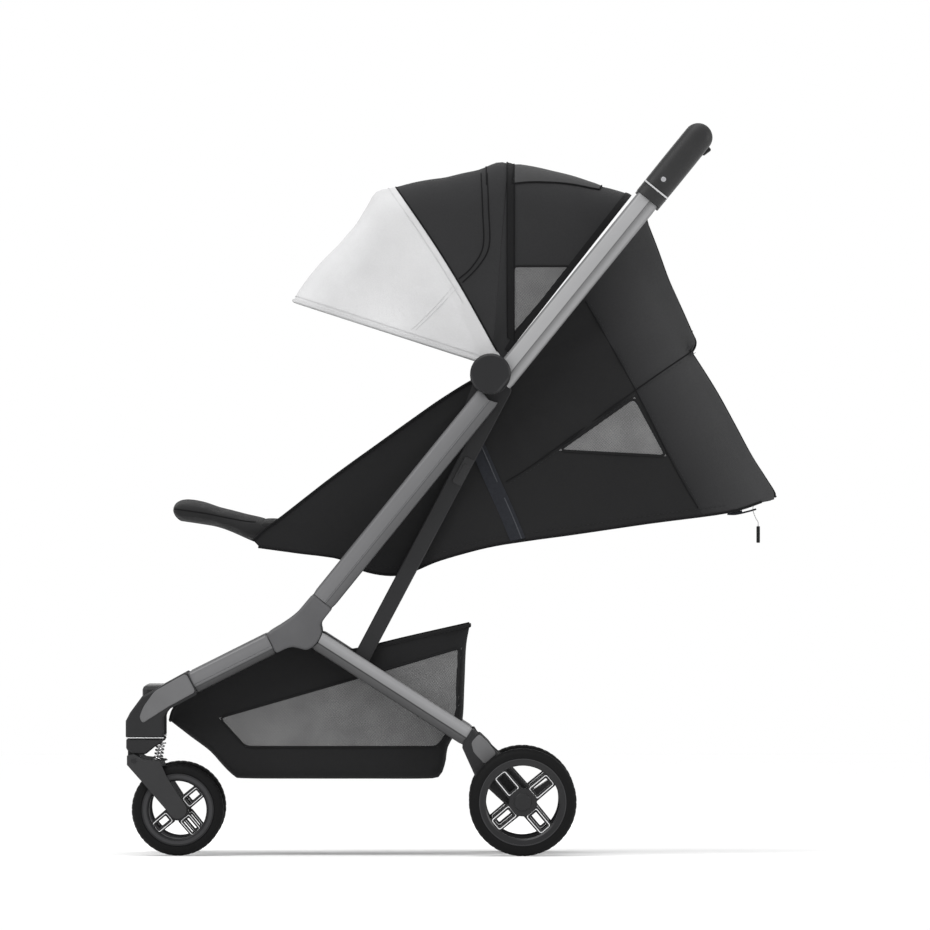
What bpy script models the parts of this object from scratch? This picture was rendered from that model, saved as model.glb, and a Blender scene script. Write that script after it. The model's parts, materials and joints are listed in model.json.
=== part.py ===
"""A folding baby stroller, in metres: front towards -X, left side towards -Y, wheels on Z = 0."""

import math

import bmesh
import bpy
from mathutils import Vector

SIDES = {"left": -1, "right": 1}
GAP = 0.0003
ROUND_STEPS = 24

# Frame layers, as distances from the middle plane.
TUBE_IN = 0.168
TUBE_OUT = 0.198
TUBE_MID = (TUBE_IN + TUBE_OUT) / 2
PLATE_IN = 0.1633
PLATE_OUT = TUBE_IN - GAP
STRUT_IN = 0.1560
STRUT_OUT = 0.1630
CANOPY_HALF = 0.155
SEAT_HALF = 0.150

# Main joints of the frame, in the side view (X, Z).
KNUCKLE = Vector((-0.2129, 0.3194))
HUB = Vector((0.0557, 0.6789))
TUBE_ANGLE = math.radians(51.0)
LEG_ANGLE = math.radians(206.57)
REAR_ANGLE = math.radians(-32.7)
TUBE_DEEP = 0.0346
LEG_DEEP = 0.032
REAR_DEEP = 0.028
HUB_RADIUS = 0.029
CAP_RECESS = 0.0305
HUB_PIN = 0.008
KNUCKLE_PIN = 0.006
PIN_PLAY = 0.0001
KNUCKLE_RADIUS = 0.031
UPPER_TUBE_LONG = 0.3306
GRIP_LONG = 0.443
GRIP_RADIUS = 0.0204
REAR_LEG_LONG = 0.2800

# Wheels.
FRONT_AXLE = Vector((-0.385, 0.065))
FRONT_RADIUS = 0.065
FRONT_WIDE = 0.028
REAR_AXLE = Vector((0.101, 0.076))
REAR_RADIUS = 0.076
REAR_WIDE = 0.026
REAR_MID = 0.222
AXLE_RADIUS = 0.006
FORK_PIN = Vector((-0.4467, 0.1342))
CASTER_X = -0.4336

# Canopy: each bow's angle about the hub, and how the cloth stands between them.
BOW_ANGLES = {"canopy_bow_front": 158.4, "canopy_bow_middle": 116.8, "canopy_bow_rear": 85.3}
BOW_WIDE = 0.012
BOW_THICK = 0.0024
CLOTH = 0.002
VISOR_ROOF = ((158.0, 0.296), (150, 0.289), (140, 0.281), (132, 0.283), (125, 0.296), (122, 0.306), (117, 0.295))
MIDDLE_ROOF = ((116.6, 0.295), (103, 0.284), (93, 0.288), (87.5, 0.301), (86, 0.300))
REAR_ROOF = ((84.6, 0.296), (73, 0.297), (61.3, 0.304), (52, 0.321))

# Seat.
BIGHT = Vector((-0.0719, 0.4139))
LEG_REST_HINGE = Vector((-0.276, 0.446))
PAD_HALF = 0.138

COLOURS = {
    "tube_grey": ((0.27, 0.27, 0.28), 0.38, 0.75),
    "dark_plastic": ((0.05, 0.05, 0.055), 0.45, 0.0),
    "grey_plastic": ((0.17, 0.17, 0.18), 0.45, 0.0),
    "tyre_black": ((0.02, 0.02, 0.02), 0.8, 0.0),
    "rim_black": ((0.045, 0.045, 0.05), 0.3, 0.0),
    "steel": ((0.6, 0.6, 0.62), 0.25, 1.0),
    "cloth_black": ((0.022, 0.022, 0.024), 0.9, 0.0),
    "cloth_dark_grey": ((0.05, 0.05, 0.052), 0.9, 0.0),
    "cloth_light_grey": ((0.66, 0.66, 0.66), 0.9, 0.0),
    "foam_black": ((0.035, 0.035, 0.037), 0.85, 0.0),
    "strap_black": ((0.03, 0.032, 0.04), 0.8, 0.0),
    "tag_white": ((0.8, 0.8, 0.8), 0.6, 0.0),
}


def clear_scene():
    for thing in list(bpy.data.objects):
        bpy.data.objects.remove(thing, do_unlink=True)


def material(name):
    found = bpy.data.materials.get(name)
    if found:
        return found
    colour, roughness, metallic = COLOURS[name]
    made = bpy.data.materials.new(name)
    made.use_nodes = True
    surface = made.node_tree.nodes["Principled BSDF"]
    surface.inputs["Base Color"].default_value = (*colour, 1.0)
    surface.inputs["Roughness"].default_value = roughness
    surface.inputs["Metallic"].default_value = metallic
    made.diffuse_color = (*colour, 1.0)
    return made


def joint_empty(name, x, y, z, parent=None):
    """An empty on a joint's axis, which carries the pieces that turn there."""
    empty = bpy.data.objects.new(name, None)
    bpy.context.scene.collection.objects.link(empty)
    empty.empty_display_size = 0.03
    attach(empty, Vector((x, y, z)), parent)
    return empty


def place_of(empty):
    """The world place of an empty. No empty is turned, so the locations add up."""
    place = Vector((0, 0, 0))
    while empty is not None:
        place += empty.location
        empty = empty.parent
    return place


def attach(thing, place, parent):
    """Puts a thing at a world place, under its parent empty."""
    if parent is not None:
        thing.parent = parent
    thing.location = place - place_of(parent)


def piece(name, shape, colour, parent=None):
    """Makes an object of a bmesh that was drawn in world coordinates."""
    origin = place_of(parent)
    bmesh.ops.recalc_face_normals(shape, faces=shape.faces)
    bmesh.ops.translate(shape, verts=shape.verts, vec=-origin)
    mesh = bpy.data.meshes.new(name)
    shape.to_mesh(mesh)
    shape.free()
    mesh.shade_smooth()
    mesh.set_sharp_from_angle(angle=math.radians(35))
    mesh.materials.append(material(colour))
    thing = bpy.data.objects.new(name, mesh)
    bpy.context.scene.collection.objects.link(thing)
    attach(thing, origin, parent)
    return thing


def helper(shape, name):
    """A hidden solid that a Boolean adds or cuts."""
    thing = piece(name, shape, "steel")
    thing.hide_render = True
    thing.display_type = "WIRE"
    return thing


def combine(thing, shape, operation):
    other = helper(shape, thing.name + "_" + operation.lower())
    step = thing.modifiers.new(operation.lower(), "BOOLEAN")
    step.operation = operation
    step.object = other
    return thing


def add(thing, shape):
    return combine(thing, shape, "UNION")


def cut(thing, shape):
    return combine(thing, shape, "DIFFERENCE")


def soften(thing, width, segments=1, angle=30):
    step = thing.modifiers.new("edge", "BEVEL")
    step.width = width
    step.segments = segments
    step.limit_method = "ANGLE"
    step.angle_limit = math.radians(angle)
    step.use_clamp_overlap = True
    return thing


def prism(outline, low, high):
    """A side-view outline (X, Z) with thickness along Y."""
    shape = bmesh.new()
    ring = [shape.verts.new((x, min(low, high), z)) for x, z in outline]
    face = shape.faces.new(ring)
    grown = bmesh.ops.extrude_face_region(shape, geom=[face])
    moved = [item for item in grown["geom"] if isinstance(item, bmesh.types.BMVert)]
    bmesh.ops.translate(shape, verts=moved, vec=(0, abs(high - low), 0))
    return shape


def turned(profile, centre, steps=ROUND_STEPS):
    """Turns a closed profile of (Y, radius) points about the Y line through centre."""
    shape = bmesh.new()
    rings = []
    for step in range(steps):
        angle = math.tau * step / steps
        rings.append(
            [
                shape.verts.new(
                    (centre[0] + radius * math.cos(angle), y, centre[1] + radius * math.sin(angle))
                )
                for y, radius in profile
            ]
        )
    for step in range(steps):
        here = rings[step]
        there = rings[(step + 1) % steps]
        for index in range(len(profile)):
            after = (index + 1) % len(profile)
            shape.faces.new((here[index], here[after], there[after], there[index]))
    return shape


def rod(centre, radius, low, high, steps=ROUND_STEPS):
    """A solid cylinder along Y."""
    return prism(arc(centre, radius, 0, 360 * (steps - 1) / steps, steps), low, high)


def arc(centre, radius, start, end, count):
    points = []
    for index in range(count):
        angle = math.radians(start + (end - start) * index / (count - 1))
        points.append((centre[0] + radius * math.cos(angle), centre[1] + radius * math.sin(angle)))
    return points


def along(origin, angle, ahead, aside):
    """A point ahead of the origin in a direction, and aside to its left in the side view."""
    return (
        origin[0] + ahead * math.cos(angle) - aside * math.sin(angle),
        origin[1] + ahead * math.sin(angle) + aside * math.cos(angle),
    )


def span(side, inner, outer):
    """The low and high Y of a layer on one side."""
    return tuple(sorted((side * inner, side * outer)))


def ribbon(points, thick):
    """The outline of a strip that follows points, with its thickness on their left."""
    offset = []
    for index, point in enumerate(points):
        before = Vector(points[max(index - 1, 0)])
        after = Vector(points[min(index + 1, len(points) - 1)])
        run = (after - before).normalized()
        offset.append((point[0] - run.y * thick, point[1] + run.x * thick))
    return list(points) + offset[::-1]


def shell(outer, inner):
    """A closed sheet between two grids of points of the same size."""
    shape = bmesh.new()
    rows = len(outer)
    columns = len(outer[0])
    out = [[shape.verts.new(point) for point in row] for row in outer]
    back = [[shape.verts.new(point) for point in row] for row in inner]
    for row in range(rows - 1):
        for column in range(columns - 1):
            for grid in (out, back):
                shape.faces.new(
                    (grid[row][column], grid[row + 1][column], grid[row + 1][column + 1], grid[row][column + 1])
                )
    for row in range(rows - 1):
        for column in (0, columns - 1):
            shape.faces.new((out[row][column], out[row + 1][column], back[row + 1][column], back[row][column]))
    for column in range(columns - 1):
        for row in (0, rows - 1):
            shape.faces.new((out[row][column], out[row][column + 1], back[row][column + 1], back[row][column]))
    return shape


def side_frame(side, name):
    """The fixed tubes of one side: lower tube, knuckle, front leg and wheel housing."""
    low, high = span(side, TUBE_IN, TUBE_OUT)
    seam = 0.0507
    half = TUBE_DEEP / 2
    hub_ahead = (HUB - KNUCKLE).dot(Vector((math.cos(TUBE_ANGLE), math.sin(TUBE_ANGLE))))
    tube = prism(
        [
            along(KNUCKLE, TUBE_ANGLE, seam + GAP, half),
            along(KNUCKLE, TUBE_ANGLE, hub_ahead - GAP, half),
            along(KNUCKLE, TUBE_ANGLE, hub_ahead - GAP, -half),
            along(KNUCKLE, TUBE_ANGLE, seam + GAP, -half),
        ],
        low,
        high,
    )
    tube = piece("lower_tube_" + name, tube, "tube_grey")
    soften(tube, 0.004)
    cut(tube, rod(HUB, HUB_RADIUS + 0.0012, low - 0.01, high + 0.01))

    leg_start = 0.046
    leg_end = 0.169
    leg_half = LEG_DEEP / 2
    rear_arc = arc(KNUCKLE, KNUCKLE_RADIUS, -12, -118, 9)
    knuckle = prism(
        [
            along(KNUCKLE, TUBE_ANGLE, seam, half),
            along(KNUCKLE, TUBE_ANGLE, seam, -half),
            along(KNUCKLE, TUBE_ANGLE, 0.027, -half),
            *rear_arc,
            along(KNUCKLE, LEG_ANGLE, leg_start, leg_half),
            along(KNUCKLE, LEG_ANGLE, leg_start, -leg_half),
            along(KNUCKLE, LEG_ANGLE, 0.004, -leg_half - 0.003),
            along(KNUCKLE, TUBE_ANGLE, 0.012, half + 0.002),
        ],
        low,
        high,
    )
    knuckle = piece("knuckle_" + name, knuckle, "grey_plastic")
    soften(knuckle, 0.003)
    add(knuckle, rod(KNUCKLE, KNUCKLE_PIN, side * (PLATE_IN - 0.0002), side * (TUBE_IN + 0.004)))

    leg = prism(
        [
            along(KNUCKLE, LEG_ANGLE, leg_start + GAP, -leg_half),
            along(KNUCKLE, LEG_ANGLE, leg_end, -leg_half),
            along(KNUCKLE, LEG_ANGLE, leg_end, leg_half),
            along(KNUCKLE, LEG_ANGLE, leg_start + GAP, leg_half),
        ],
        low,
        high,
    )
    soften(piece("front_leg_" + name, leg, "tube_grey"), 0.004)

    floor = 0.1657
    housing = prism(
        [
            (-0.4582, floor),
            (-0.4582, 0.190),
            (-0.452, 0.202),
            (-0.435, 0.225),
            along(KNUCKLE, LEG_ANGLE, leg_end + GAP, -leg_half - 0.0015),
            along(KNUCKLE, LEG_ANGLE, leg_end + GAP, leg_half + 0.0015),
            (-0.398, 0.206),
            (-0.405, 0.197),
            (-0.405, floor),
        ],
        *span(side, TUBE_IN - 0.003, TUBE_OUT + 0.003),
    )
    soften(piece("front_housing_" + name, housing, "dark_plastic"), 0.0025)


def hub_plate(side, name):
    """The fixed half of the fold hinge: an inner plate, its pin and the outer cap."""
    plate = prism(
        [
            along(HUB, TUBE_ANGLE, -0.075, -0.006),
            *arc(HUB, 0.020, 141, -39, 9),
            along(HUB, TUBE_ANGLE, -0.075, -0.030),
        ],
        *span(side, PLATE_IN, PLATE_OUT),
    )
    plate = piece("fold_hub_" + name, plate, "dark_plastic")
    add(plate, rod(HUB, HUB_PIN, side * 0.1430, side * 0.2000))
    flat = arc(HUB, HUB_RADIUS, -10, 290, 26)
    cap = helper(prism(flat, *span(side, TUBE_OUT + GAP, 0.212)), "fold_cap_" + name)
    soften(cap, 0.003)
    step = plate.modifiers.new("cap", "BOOLEAN")
    step.operation = "UNION"
    step.object = cap


def upper_frame(side, name, pivot):
    """The part of one side that folds: upper tube and handle arm."""
    low, high = span(side, TUBE_IN, TUBE_OUT)
    near = -GAP
    far = near - TUBE_DEEP
    tube = prism(
        [
            along(HUB, TUBE_ANGLE, GAP, near),
            along(HUB, TUBE_ANGLE, UPPER_TUBE_LONG, near),
            along(HUB, TUBE_ANGLE, UPPER_TUBE_LONG, far),
            along(HUB, TUBE_ANGLE, GAP, far),
        ],
        low,
        high,
    )
    tube = piece("upper_tube_" + name, tube, "tube_grey", pivot)
    soften(tube, 0.004)
    add(tube, rod(HUB, HUB_RADIUS, low + 0.0002, high - 0.0002))
    cut(tube, rod(HUB, HUB_PIN + PIN_PLAY, low - 0.01, high + 0.01))
    cut(tube, rod(HUB, CAP_RECESS, side * (TUBE_OUT - GAP), side * (TUBE_OUT + 0.01), 32))

    axis = along(HUB, TUBE_ANGLE, GRIP_LONG, near - TUBE_DEEP / 2)
    turn = math.degrees(TUBE_ANGLE)
    arm = prism(
        [
            along(HUB, TUBE_ANGLE, UPPER_TUBE_LONG + GAP, near - TUBE_DEEP / 2 + GRIP_RADIUS),
            *arc(axis, GRIP_RADIUS, turn + 90, turn - 90, 13),
            along(HUB, TUBE_ANGLE, UPPER_TUBE_LONG + GAP, near - TUBE_DEEP / 2 - GRIP_RADIUS),
        ],
        *span(side, TUBE_IN - 0.0035, TUBE_OUT + 0.0035),
    )
    soften(piece("handle_arm_" + name, arm, "dark_plastic", pivot), 0.004)


def handlebar(pivot):
    """The cross bar of the handle and the fold button under it."""
    axis = along(HUB, TUBE_ANGLE, GRIP_LONG, -GAP - TUBE_DEEP / 2)
    half = TUBE_IN - 0.0035 - GAP
    bar = piece("handlebar", rod(axis, GRIP_RADIUS - 0.0008, -half, half), "foam_black", pivot)
    push = math.radians(-53)
    ahead = GRIP_RADIUS + 0.0045
    reach = 0.014
    wide = 0.022
    deep = 0.007
    pocket = prism(
        [
            along(axis, push, 0.006, deep + GAP),
            along(axis, push, 0.040, deep + GAP),
            along(axis, push, 0.040, -deep - GAP),
            along(axis, push, 0.006, -deep - GAP),
        ],
        -wide - GAP,
        wide + GAP,
    )
    cut(bar, pocket)
    button = prism(
        [
            along(axis, push, ahead - reach, deep),
            along(axis, push, ahead, deep),
            along(axis, push, ahead, -deep),
            along(axis, push, ahead - reach, -deep),
        ],
        -wide,
        wide,
    )
    soften(piece("fold_button", button, "grey_plastic", pivot), 0.0015)


def front_wheel(side, name):
    """A swivelling front wheel: caster cup, sprung fork, coil spring, tyre and rim."""
    mid = side * TUBE_MID
    swivel = joint_empty("caster_axis_" + name, CASTER_X, mid, 0.15)
    cup_top = 0.1654
    cup = prism(
        [
            (-0.4575, cup_top),
            (-0.4575, 0.150),
            (-0.446, 0.143),
            (-0.430, 0.143),
            (-0.416, 0.1545),
            (-0.4055, 0.160),
            (-0.4055, cup_top),
        ],
        mid - 0.016,
        mid + 0.016,
    )
    cup = piece("caster_cup_" + name, cup, "dark_plastic", swivel)
    soften(cup, 0.002)
    lug = [
        *arc(FORK_PIN, 0.0085, 180, 360, 11),
        (FORK_PIN.x + 0.0085, 0.150),
        (FORK_PIN.x - 0.0085, 0.150),
    ]
    add(cup, prism(lug, mid - 0.009, mid + 0.009))
    cut(cup, rod(FORK_PIN, 0.004 + PIN_PLAY, mid - 0.03, mid + 0.03, 16))

    sway = joint_empty("suspension_axis_" + name, FORK_PIN.x, mid, FORK_PIN.y, swivel)
    blade = [
        (-0.4564, 0.1412),
        (-0.4467, 0.1435),
        (-0.4337, 0.1363),
        (-0.4100, 0.1337),
        (-0.4009, 0.1121),
        *arc(FRONT_AXLE, 0.0125, 32, -148, 9),
        (-0.4354, 0.1046),
        (-0.4564, 0.1283),
    ]
    fork = piece("fork_" + name, prism(blade, mid - 0.024, mid - 0.0165), "dark_plastic", sway)
    add(fork, prism(blade, mid + 0.0165, mid + 0.024))
    bridge = [
        (-0.4345, 0.1330),
        (-0.4060, 0.1330),
        (-0.4035, 0.1305),
        (-0.4130, 0.1282),
        (-0.4250, 0.1215),
        (-0.4340, 0.1135),
        (-0.4375, 0.1175),
    ]
    add(fork, prism(bridge, mid - 0.020, mid + 0.020))
    add(fork, rod(FORK_PIN, 0.004, mid - 0.021, mid + 0.021, 16))
    add(fork, rod(FRONT_AXLE, AXLE_RADIUS, mid - 0.022, mid + 0.022, 20))

    spring_foot = Vector((-0.4145, 0.1352))
    spring_head = Vector((-0.4105, 0.1570))
    line = (spring_head - spring_foot).normalized()
    across = math.atan2(line.y, line.x)
    spring = prism(
        [
            along(spring_foot, across, 0, 0.0045),
            along(spring_foot, across, 0.0160, 0.0045),
            along(spring_foot, across, 0.0160, -0.0045),
            along(spring_foot, across, 0, -0.0045),
        ],
        mid - 0.0045,
        mid + 0.0045,
    )
    soften(piece("fork_spring_" + name, spring, "steel", sway), 0.001)

    hub = joint_empty("front_wheel_axis_" + name, FRONT_AXLE.x, mid, FRONT_AXLE.y, sway)
    wheel("front", name, hub, FRONT_AXLE, mid, FRONT_RADIUS, FRONT_WIDE, 0.052, 0.041)


def wheel(which, name, pivot, axle, mid, radius, wide, ring, opening):
    """A tyre on a rim with four spokes round a hub that runs on its axle."""
    half = wide / 2
    shoulder = 0.006
    tyre = turned(
        [
            (mid - half, ring + 0.001),
            (mid - half, radius - shoulder),
            (mid - half + shoulder * 0.6, radius - 0.0012),
            (mid, radius),
            (mid + half - shoulder * 0.6, radius - 0.0012),
            (mid + half, radius - shoulder),
            (mid + half, ring + 0.001),
            (mid, ring - 0.002),
        ],
        axle,
        32,
    )
    piece(which + "_tyre_" + name, tyre, "tyre_black", pivot)
    rim_half = half - 0.0015
    seat = GAP + 0.003 * 0.0015 / half
    rim = turned(
        [
            (mid - rim_half, opening),
            (mid - rim_half, ring + 0.001 - seat),
            (mid, ring - 0.002 - GAP),
            (mid + rim_half, ring + 0.001 - seat),
            (mid + rim_half, opening),
        ],
        axle,
        32,
    )
    rim = piece(which + "_rim_" + name, rim, "rim_black", pivot)
    spoke_half = opening * 0.19
    reach = opening + 0.004
    for turn in (40, 130):
        angle = math.radians(turn)
        bar = [
            along(axle, angle, -reach, spoke_half),
            along(axle, angle, reach, spoke_half),
            along(axle, angle, reach, -spoke_half),
            along(axle, angle, -reach, -spoke_half),
        ]
        add(rim, prism(bar, mid - rim_half * (0.8 + turn / 900), mid + rim_half * (0.8 + turn / 900)))
    add(rim, rod(axle, opening * 0.4, mid - rim_half - 0.0005, mid + rim_half + 0.0005, 20))
    cut(rim, rod(axle, AXLE_RADIUS + PIN_PLAY, mid - half - 0.01, mid + half + 0.01, 20))


def rear_legs():
    """The two rear legs with their brackets, axle, brake bar and wheels."""
    pivot = joint_empty("rear_leg_axis", KNUCKLE.x, 0, KNUCKLE.y)
    start = KNUCKLE_RADIUS + 0.0008
    half = REAR_DEEP / 2
    turn = math.degrees(REAR_ANGLE)
    for name, side in SIDES.items():
        low, high = span(side, TUBE_IN, TUBE_OUT)
        spread = math.degrees(math.asin(half / start))
        leg = prism(
            [
                *arc(KNUCKLE, start, turn - spread, turn + spread, 5),
                along(KNUCKLE, REAR_ANGLE, REAR_LEG_LONG, half),
                along(KNUCKLE, REAR_ANGLE, REAR_LEG_LONG, -half),
            ],
            low,
            high,
        )
        leg = piece("rear_leg_" + name, leg, "tube_grey", pivot)
        soften(leg, 0.0035, angle=40)
        plate_half = 0.0105
        plate = [
            along(KNUCKLE, REAR_ANGLE, 0.075, plate_half),
            *arc(KNUCKLE, 0.014, turn + 90, turn + 270, 11),
            along(KNUCKLE, REAR_ANGLE, 0.075, -plate_half),
        ]
        add(leg, prism(plate, side * (PLATE_IN + 0.0003), side * (TUBE_IN + 0.001)))
        ear_gap = rod(KNUCKLE, start - 0.0001, side * (TUBE_IN - GAP), side * (TUBE_OUT + 0.01))
        cut(leg, ear_gap)
        cut(leg, rod(KNUCKLE, KNUCKLE_PIN + PIN_PLAY, low - 0.02, high + 0.02))

        bracket = prism(
            [
                along(KNUCKLE, REAR_ANGLE, REAR_LEG_LONG + GAP, -half - 0.0015),
                along(KNUCKLE, REAR_ANGLE, REAR_LEG_LONG + GAP, half + 0.0015),
                (0.037, 0.172),
                (0.067, 0.144),
                *arc(REAR_AXLE, 0.020, 38, -150, 12),
                (0.034, 0.112),
            ],
            *span(side, TUBE_IN - 0.001, TUBE_OUT + 0.003),
        )
        bracket = piece("rear_bracket_" + name, bracket, "dark_plastic", pivot)
        soften(bracket, 0.003)
        cut(bracket, rod(REAR_AXLE, AXLE_RADIUS + GAP, -0.24, 0.24, 20))

        hub = joint_empty("rear_wheel_axis_" + name, REAR_AXLE.x, side * REAR_MID, REAR_AXLE.y, pivot)
        wheel("rear", name, hub, REAR_AXLE, side * REAR_MID, REAR_RADIUS, REAR_WIDE, 0.062, 0.051)

    piece("rear_axle", rod(REAR_AXLE, AXLE_RADIUS, -0.2345, 0.2345, 20), "steel", pivot)

    brake = joint_empty("brake_axis", REAR_AXLE.x, 0, REAR_AXLE.y, pivot)
    sleeve = piece("brake_bar", rod(REAR_AXLE, 0.0115, -0.158, 0.158, 24), "dark_plastic", brake)
    pedal = [
        along(REAR_AXLE, math.radians(32), 0.004, 0.004),
        along(REAR_AXLE, math.radians(32), 0.060, 0.006),
        along(REAR_AXLE, math.radians(32), 0.060, 0.001),
        along(REAR_AXLE, math.radians(32), 0.004, -0.006),
    ]
    add(sleeve, prism(pedal, -0.045, 0.045))
    cut(sleeve, rod(REAR_AXLE, AXLE_RADIUS + PIN_PLAY, -0.17, 0.17, 20))
    return pivot


def struts(rear_pivot):
    """The two links that hold the rear legs open against the lower tubes."""
    top = Vector((0.0737, 0.6564))
    foot = Vector((-0.1332, 0.2652))
    pivot = joint_empty("strut_axis", foot.x, 0, foot.y, rear_pivot)
    run = top - foot
    angle = math.atan2(run.y, run.x)
    turn = math.degrees(angle)
    radius = 0.0115
    for name, side in SIDES.items():
        link = prism(
            [*arc(top, radius, turn - 90, turn + 90, 9), *arc(foot, radius, turn + 90, turn + 270, 9)],
            *span(side, STRUT_IN, STRUT_OUT),
        )
        link = piece("strut_" + name, link, "dark_plastic", pivot)
        soften(link, 0.0015, angle=60)


def cross_members():
    """The bar under the seat and the foot bar at the front."""
    piece("seat_bar", rod(KNUCKLE, 0.0125, -0.1627, 0.1627, 24), "tube_grey")
    half = TUBE_IN - 0.003 - GAP
    bar = prism([(-0.435, 0.219), (-0.435, 0.240), (-0.403, 0.240), (-0.403, 0.219)], -half, half)
    soften(piece("front_crossbar", bar, "dark_plastic"), 0.006, 2)


def bow_path(reach, half, corner, steps=4):
    """Half a bow in (distance from the hub, Y), from the middle of the roof down one side."""
    points = [(reach, 0.0)]
    for index in range(steps + 1):
        angle = math.pi / 2 * index / steps
        points.append((reach - corner + corner * math.cos(angle), half - corner + corner * math.sin(angle)))
    return points


def whole_path(reach, half, corner, foot):
    """A bow or a cloth edge from one side's foot over the roof to the other's."""
    side = [*bow_path(reach, half, corner), (foot, half)]
    return [(r, -y) for r, y in side[:0:-1]] + side


def hub_point(distance, degrees, y):
    angle = math.radians(degrees)
    return (HUB.x + distance * math.cos(angle), y, HUB.y + distance * math.sin(angle))


def bow(name, layer, pivot):
    """A flat steel hoop with an eye at each end on the hub pin."""
    degrees = BOW_ANGLES[name]
    angle = math.radians(degrees)
    outside = CANOPY_HALF - CLOTH - 0.0005 - layer * (BOW_THICK + GAP)
    reach = 0.2915 - layer * (BOW_THICK + GAP)
    corner = 0.045
    outer = whole_path(reach, outside, corner, 0.0)
    inner = whole_path(reach - BOW_THICK, outside - BOW_THICK, corner - BOW_THICK, 0.0)
    aside = Vector((-math.sin(angle), 0, math.cos(angle))) * (BOW_WIDE / 2)
    rows_out = []
    rows_in = []
    for sign in (-1, 1):
        rows_out.append([Vector(hub_point(r, degrees, y)) + aside * sign for r, y in outer])
        rows_in.append([Vector(hub_point(r, degrees, y)) + aside * sign for r, y in inner])
    made = piece(name, shell(rows_out, rows_in), "steel", pivot)
    for side in SIDES.values():
        add(made, rod(HUB, 0.013, side * (outside - BOW_THICK + 0.0001), side * (outside - 0.0001)))
    cut(made, rod(HUB, HUB_PIN + PIN_PLAY, -0.2, 0.2))
    return made


def roof_reach(table, degrees):
    """The cloth roof's distance from the hub at an angle, read between the table's angles."""
    if degrees >= table[0][0]:
        return table[0][1]
    for (high, first), (low, second) in zip(table, table[1:]):
        if degrees >= low:
            share = (high - degrees) / (high - low)
            return first + (second - first) * share
    return table[-1][1]


def light_edge(distance):
    """The angle where the light visor meets the dark roof: it leans back near the hub."""
    return 117.0 - 34.0 * max(0.0, 1 - distance / 0.24) ** 2


def canopy_panel(name, table, start, end, colour, pivot, stations):
    """A sheet from one bow to the next. start and end give its edge's angle at a distance from the hub."""
    foot = 0.034
    corner = 0.045
    outer = []
    inner = []
    middle = (table[0][0] + table[-1][0]) / 2
    columns = len(whole_path(roof_reach(table, middle), CANOPY_HALF, corner, foot))
    for station in range(stations + 1):
        share = station / stations
        row_out = []
        row_in = []
        for column in range(columns):
            guess = table[0][0] + (table[-1][0] - table[0][0]) * share
            reach = roof_reach(table, guess)
            r, y = whole_path(reach, CANOPY_HALF, corner, foot)[column]
            degrees = start(r) + (end(r) - start(r)) * share
            row_out.append(hub_point(r, degrees, y))
            r_in, y_in = whole_path(reach - CLOTH, CANOPY_HALF - CLOTH, corner - CLOTH, foot)[column]
            row_in.append(hub_point(r_in, degrees, y_in))
        outer.append(row_out)
        inner.append(row_in)
    return piece(name, shell(outer, inner), colour, pivot)


def canopy():
    """Three bows that turn about the hub, with the visor, roof and rear panel between them."""
    rear = joint_empty("bow_rear_axis", HUB.x, 0, HUB.y)
    middle = joint_empty("bow_middle_axis", HUB.x, 0, HUB.y, rear)
    front = joint_empty("bow_front_axis", HUB.x, 0, HUB.y, middle)
    bow("canopy_bow_rear", 0, rear)
    bow("canopy_bow_middle", 1, middle)
    bow("canopy_bow_front", 2, front)
    canopy_panel("visor", VISOR_ROOF, lambda r: 158.4, light_edge, "cloth_light_grey", front, 8)
    canopy_panel(
        "canopy_roof", MIDDLE_ROOF, lambda r: light_edge(r) - 0.3, lambda r: 85.3, "cloth_dark_grey", middle, 5
    )
    canopy_panel("canopy_rear", REAR_ROOF, lambda r: 85.0, lambda r: 51.8, "cloth_dark_grey", rear, 4)


def hood():
    """The cloth body behind and beside the seat: two sides and a back."""
    side_outline = [
        (-0.279, 0.444),
        (-0.272, 0.434),
        (-0.156, 0.418),
        (-0.123, 0.401),
        (-0.085, 0.3945),
        (-0.055, 0.400),
        (-0.0155, 0.416),
        (0.050, 0.434),
        (0.173, 0.4526),
        (0.390, 0.483),
        (0.438, 0.498),
        (0.454, 0.5006),
        (0.4582, 0.509),
        (0.423, 0.565),
        (0.377, 0.650),
        (0.3395, 0.7095),
        (0.345, 0.728),
        (0.307, 0.8115),
        (0.277, 0.892),
        along(HUB, TUBE_ANGLE, 0.320, -0.016),
        along(HUB, TUBE_ANGLE, 0.010, -0.016),
        *arc(HUB, 0.0145, -50, -165, 6),
        (0.028, 0.672),
        (-0.014, 0.642),
        (-0.093, 0.586),
        (-0.237, 0.478),
    ]
    for name, side in SIDES.items():
        wall = prism(side_outline, *span(side, SEAT_HALF - 0.003, SEAT_HALF))
        piece("hood_side_" + name, wall, "cloth_black")
    back_line = [
        (0.430, 0.4965),
        (0.454, 0.5006),
        (0.4582, 0.509),
        (0.423, 0.565),
        (0.377, 0.650),
        (0.3395, 0.7095),
        (0.345, 0.728),
        (0.307, 0.8115),
        (0.277, 0.892),
        along(HUB, TUBE_ANGLE, 0.318, -0.016),
    ]
    half = SEAT_HALF - 0.003 - GAP
    piece("hood_back", prism(ribbon(back_line, 0.003), -half, half), "cloth_dark_grey")


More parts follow.
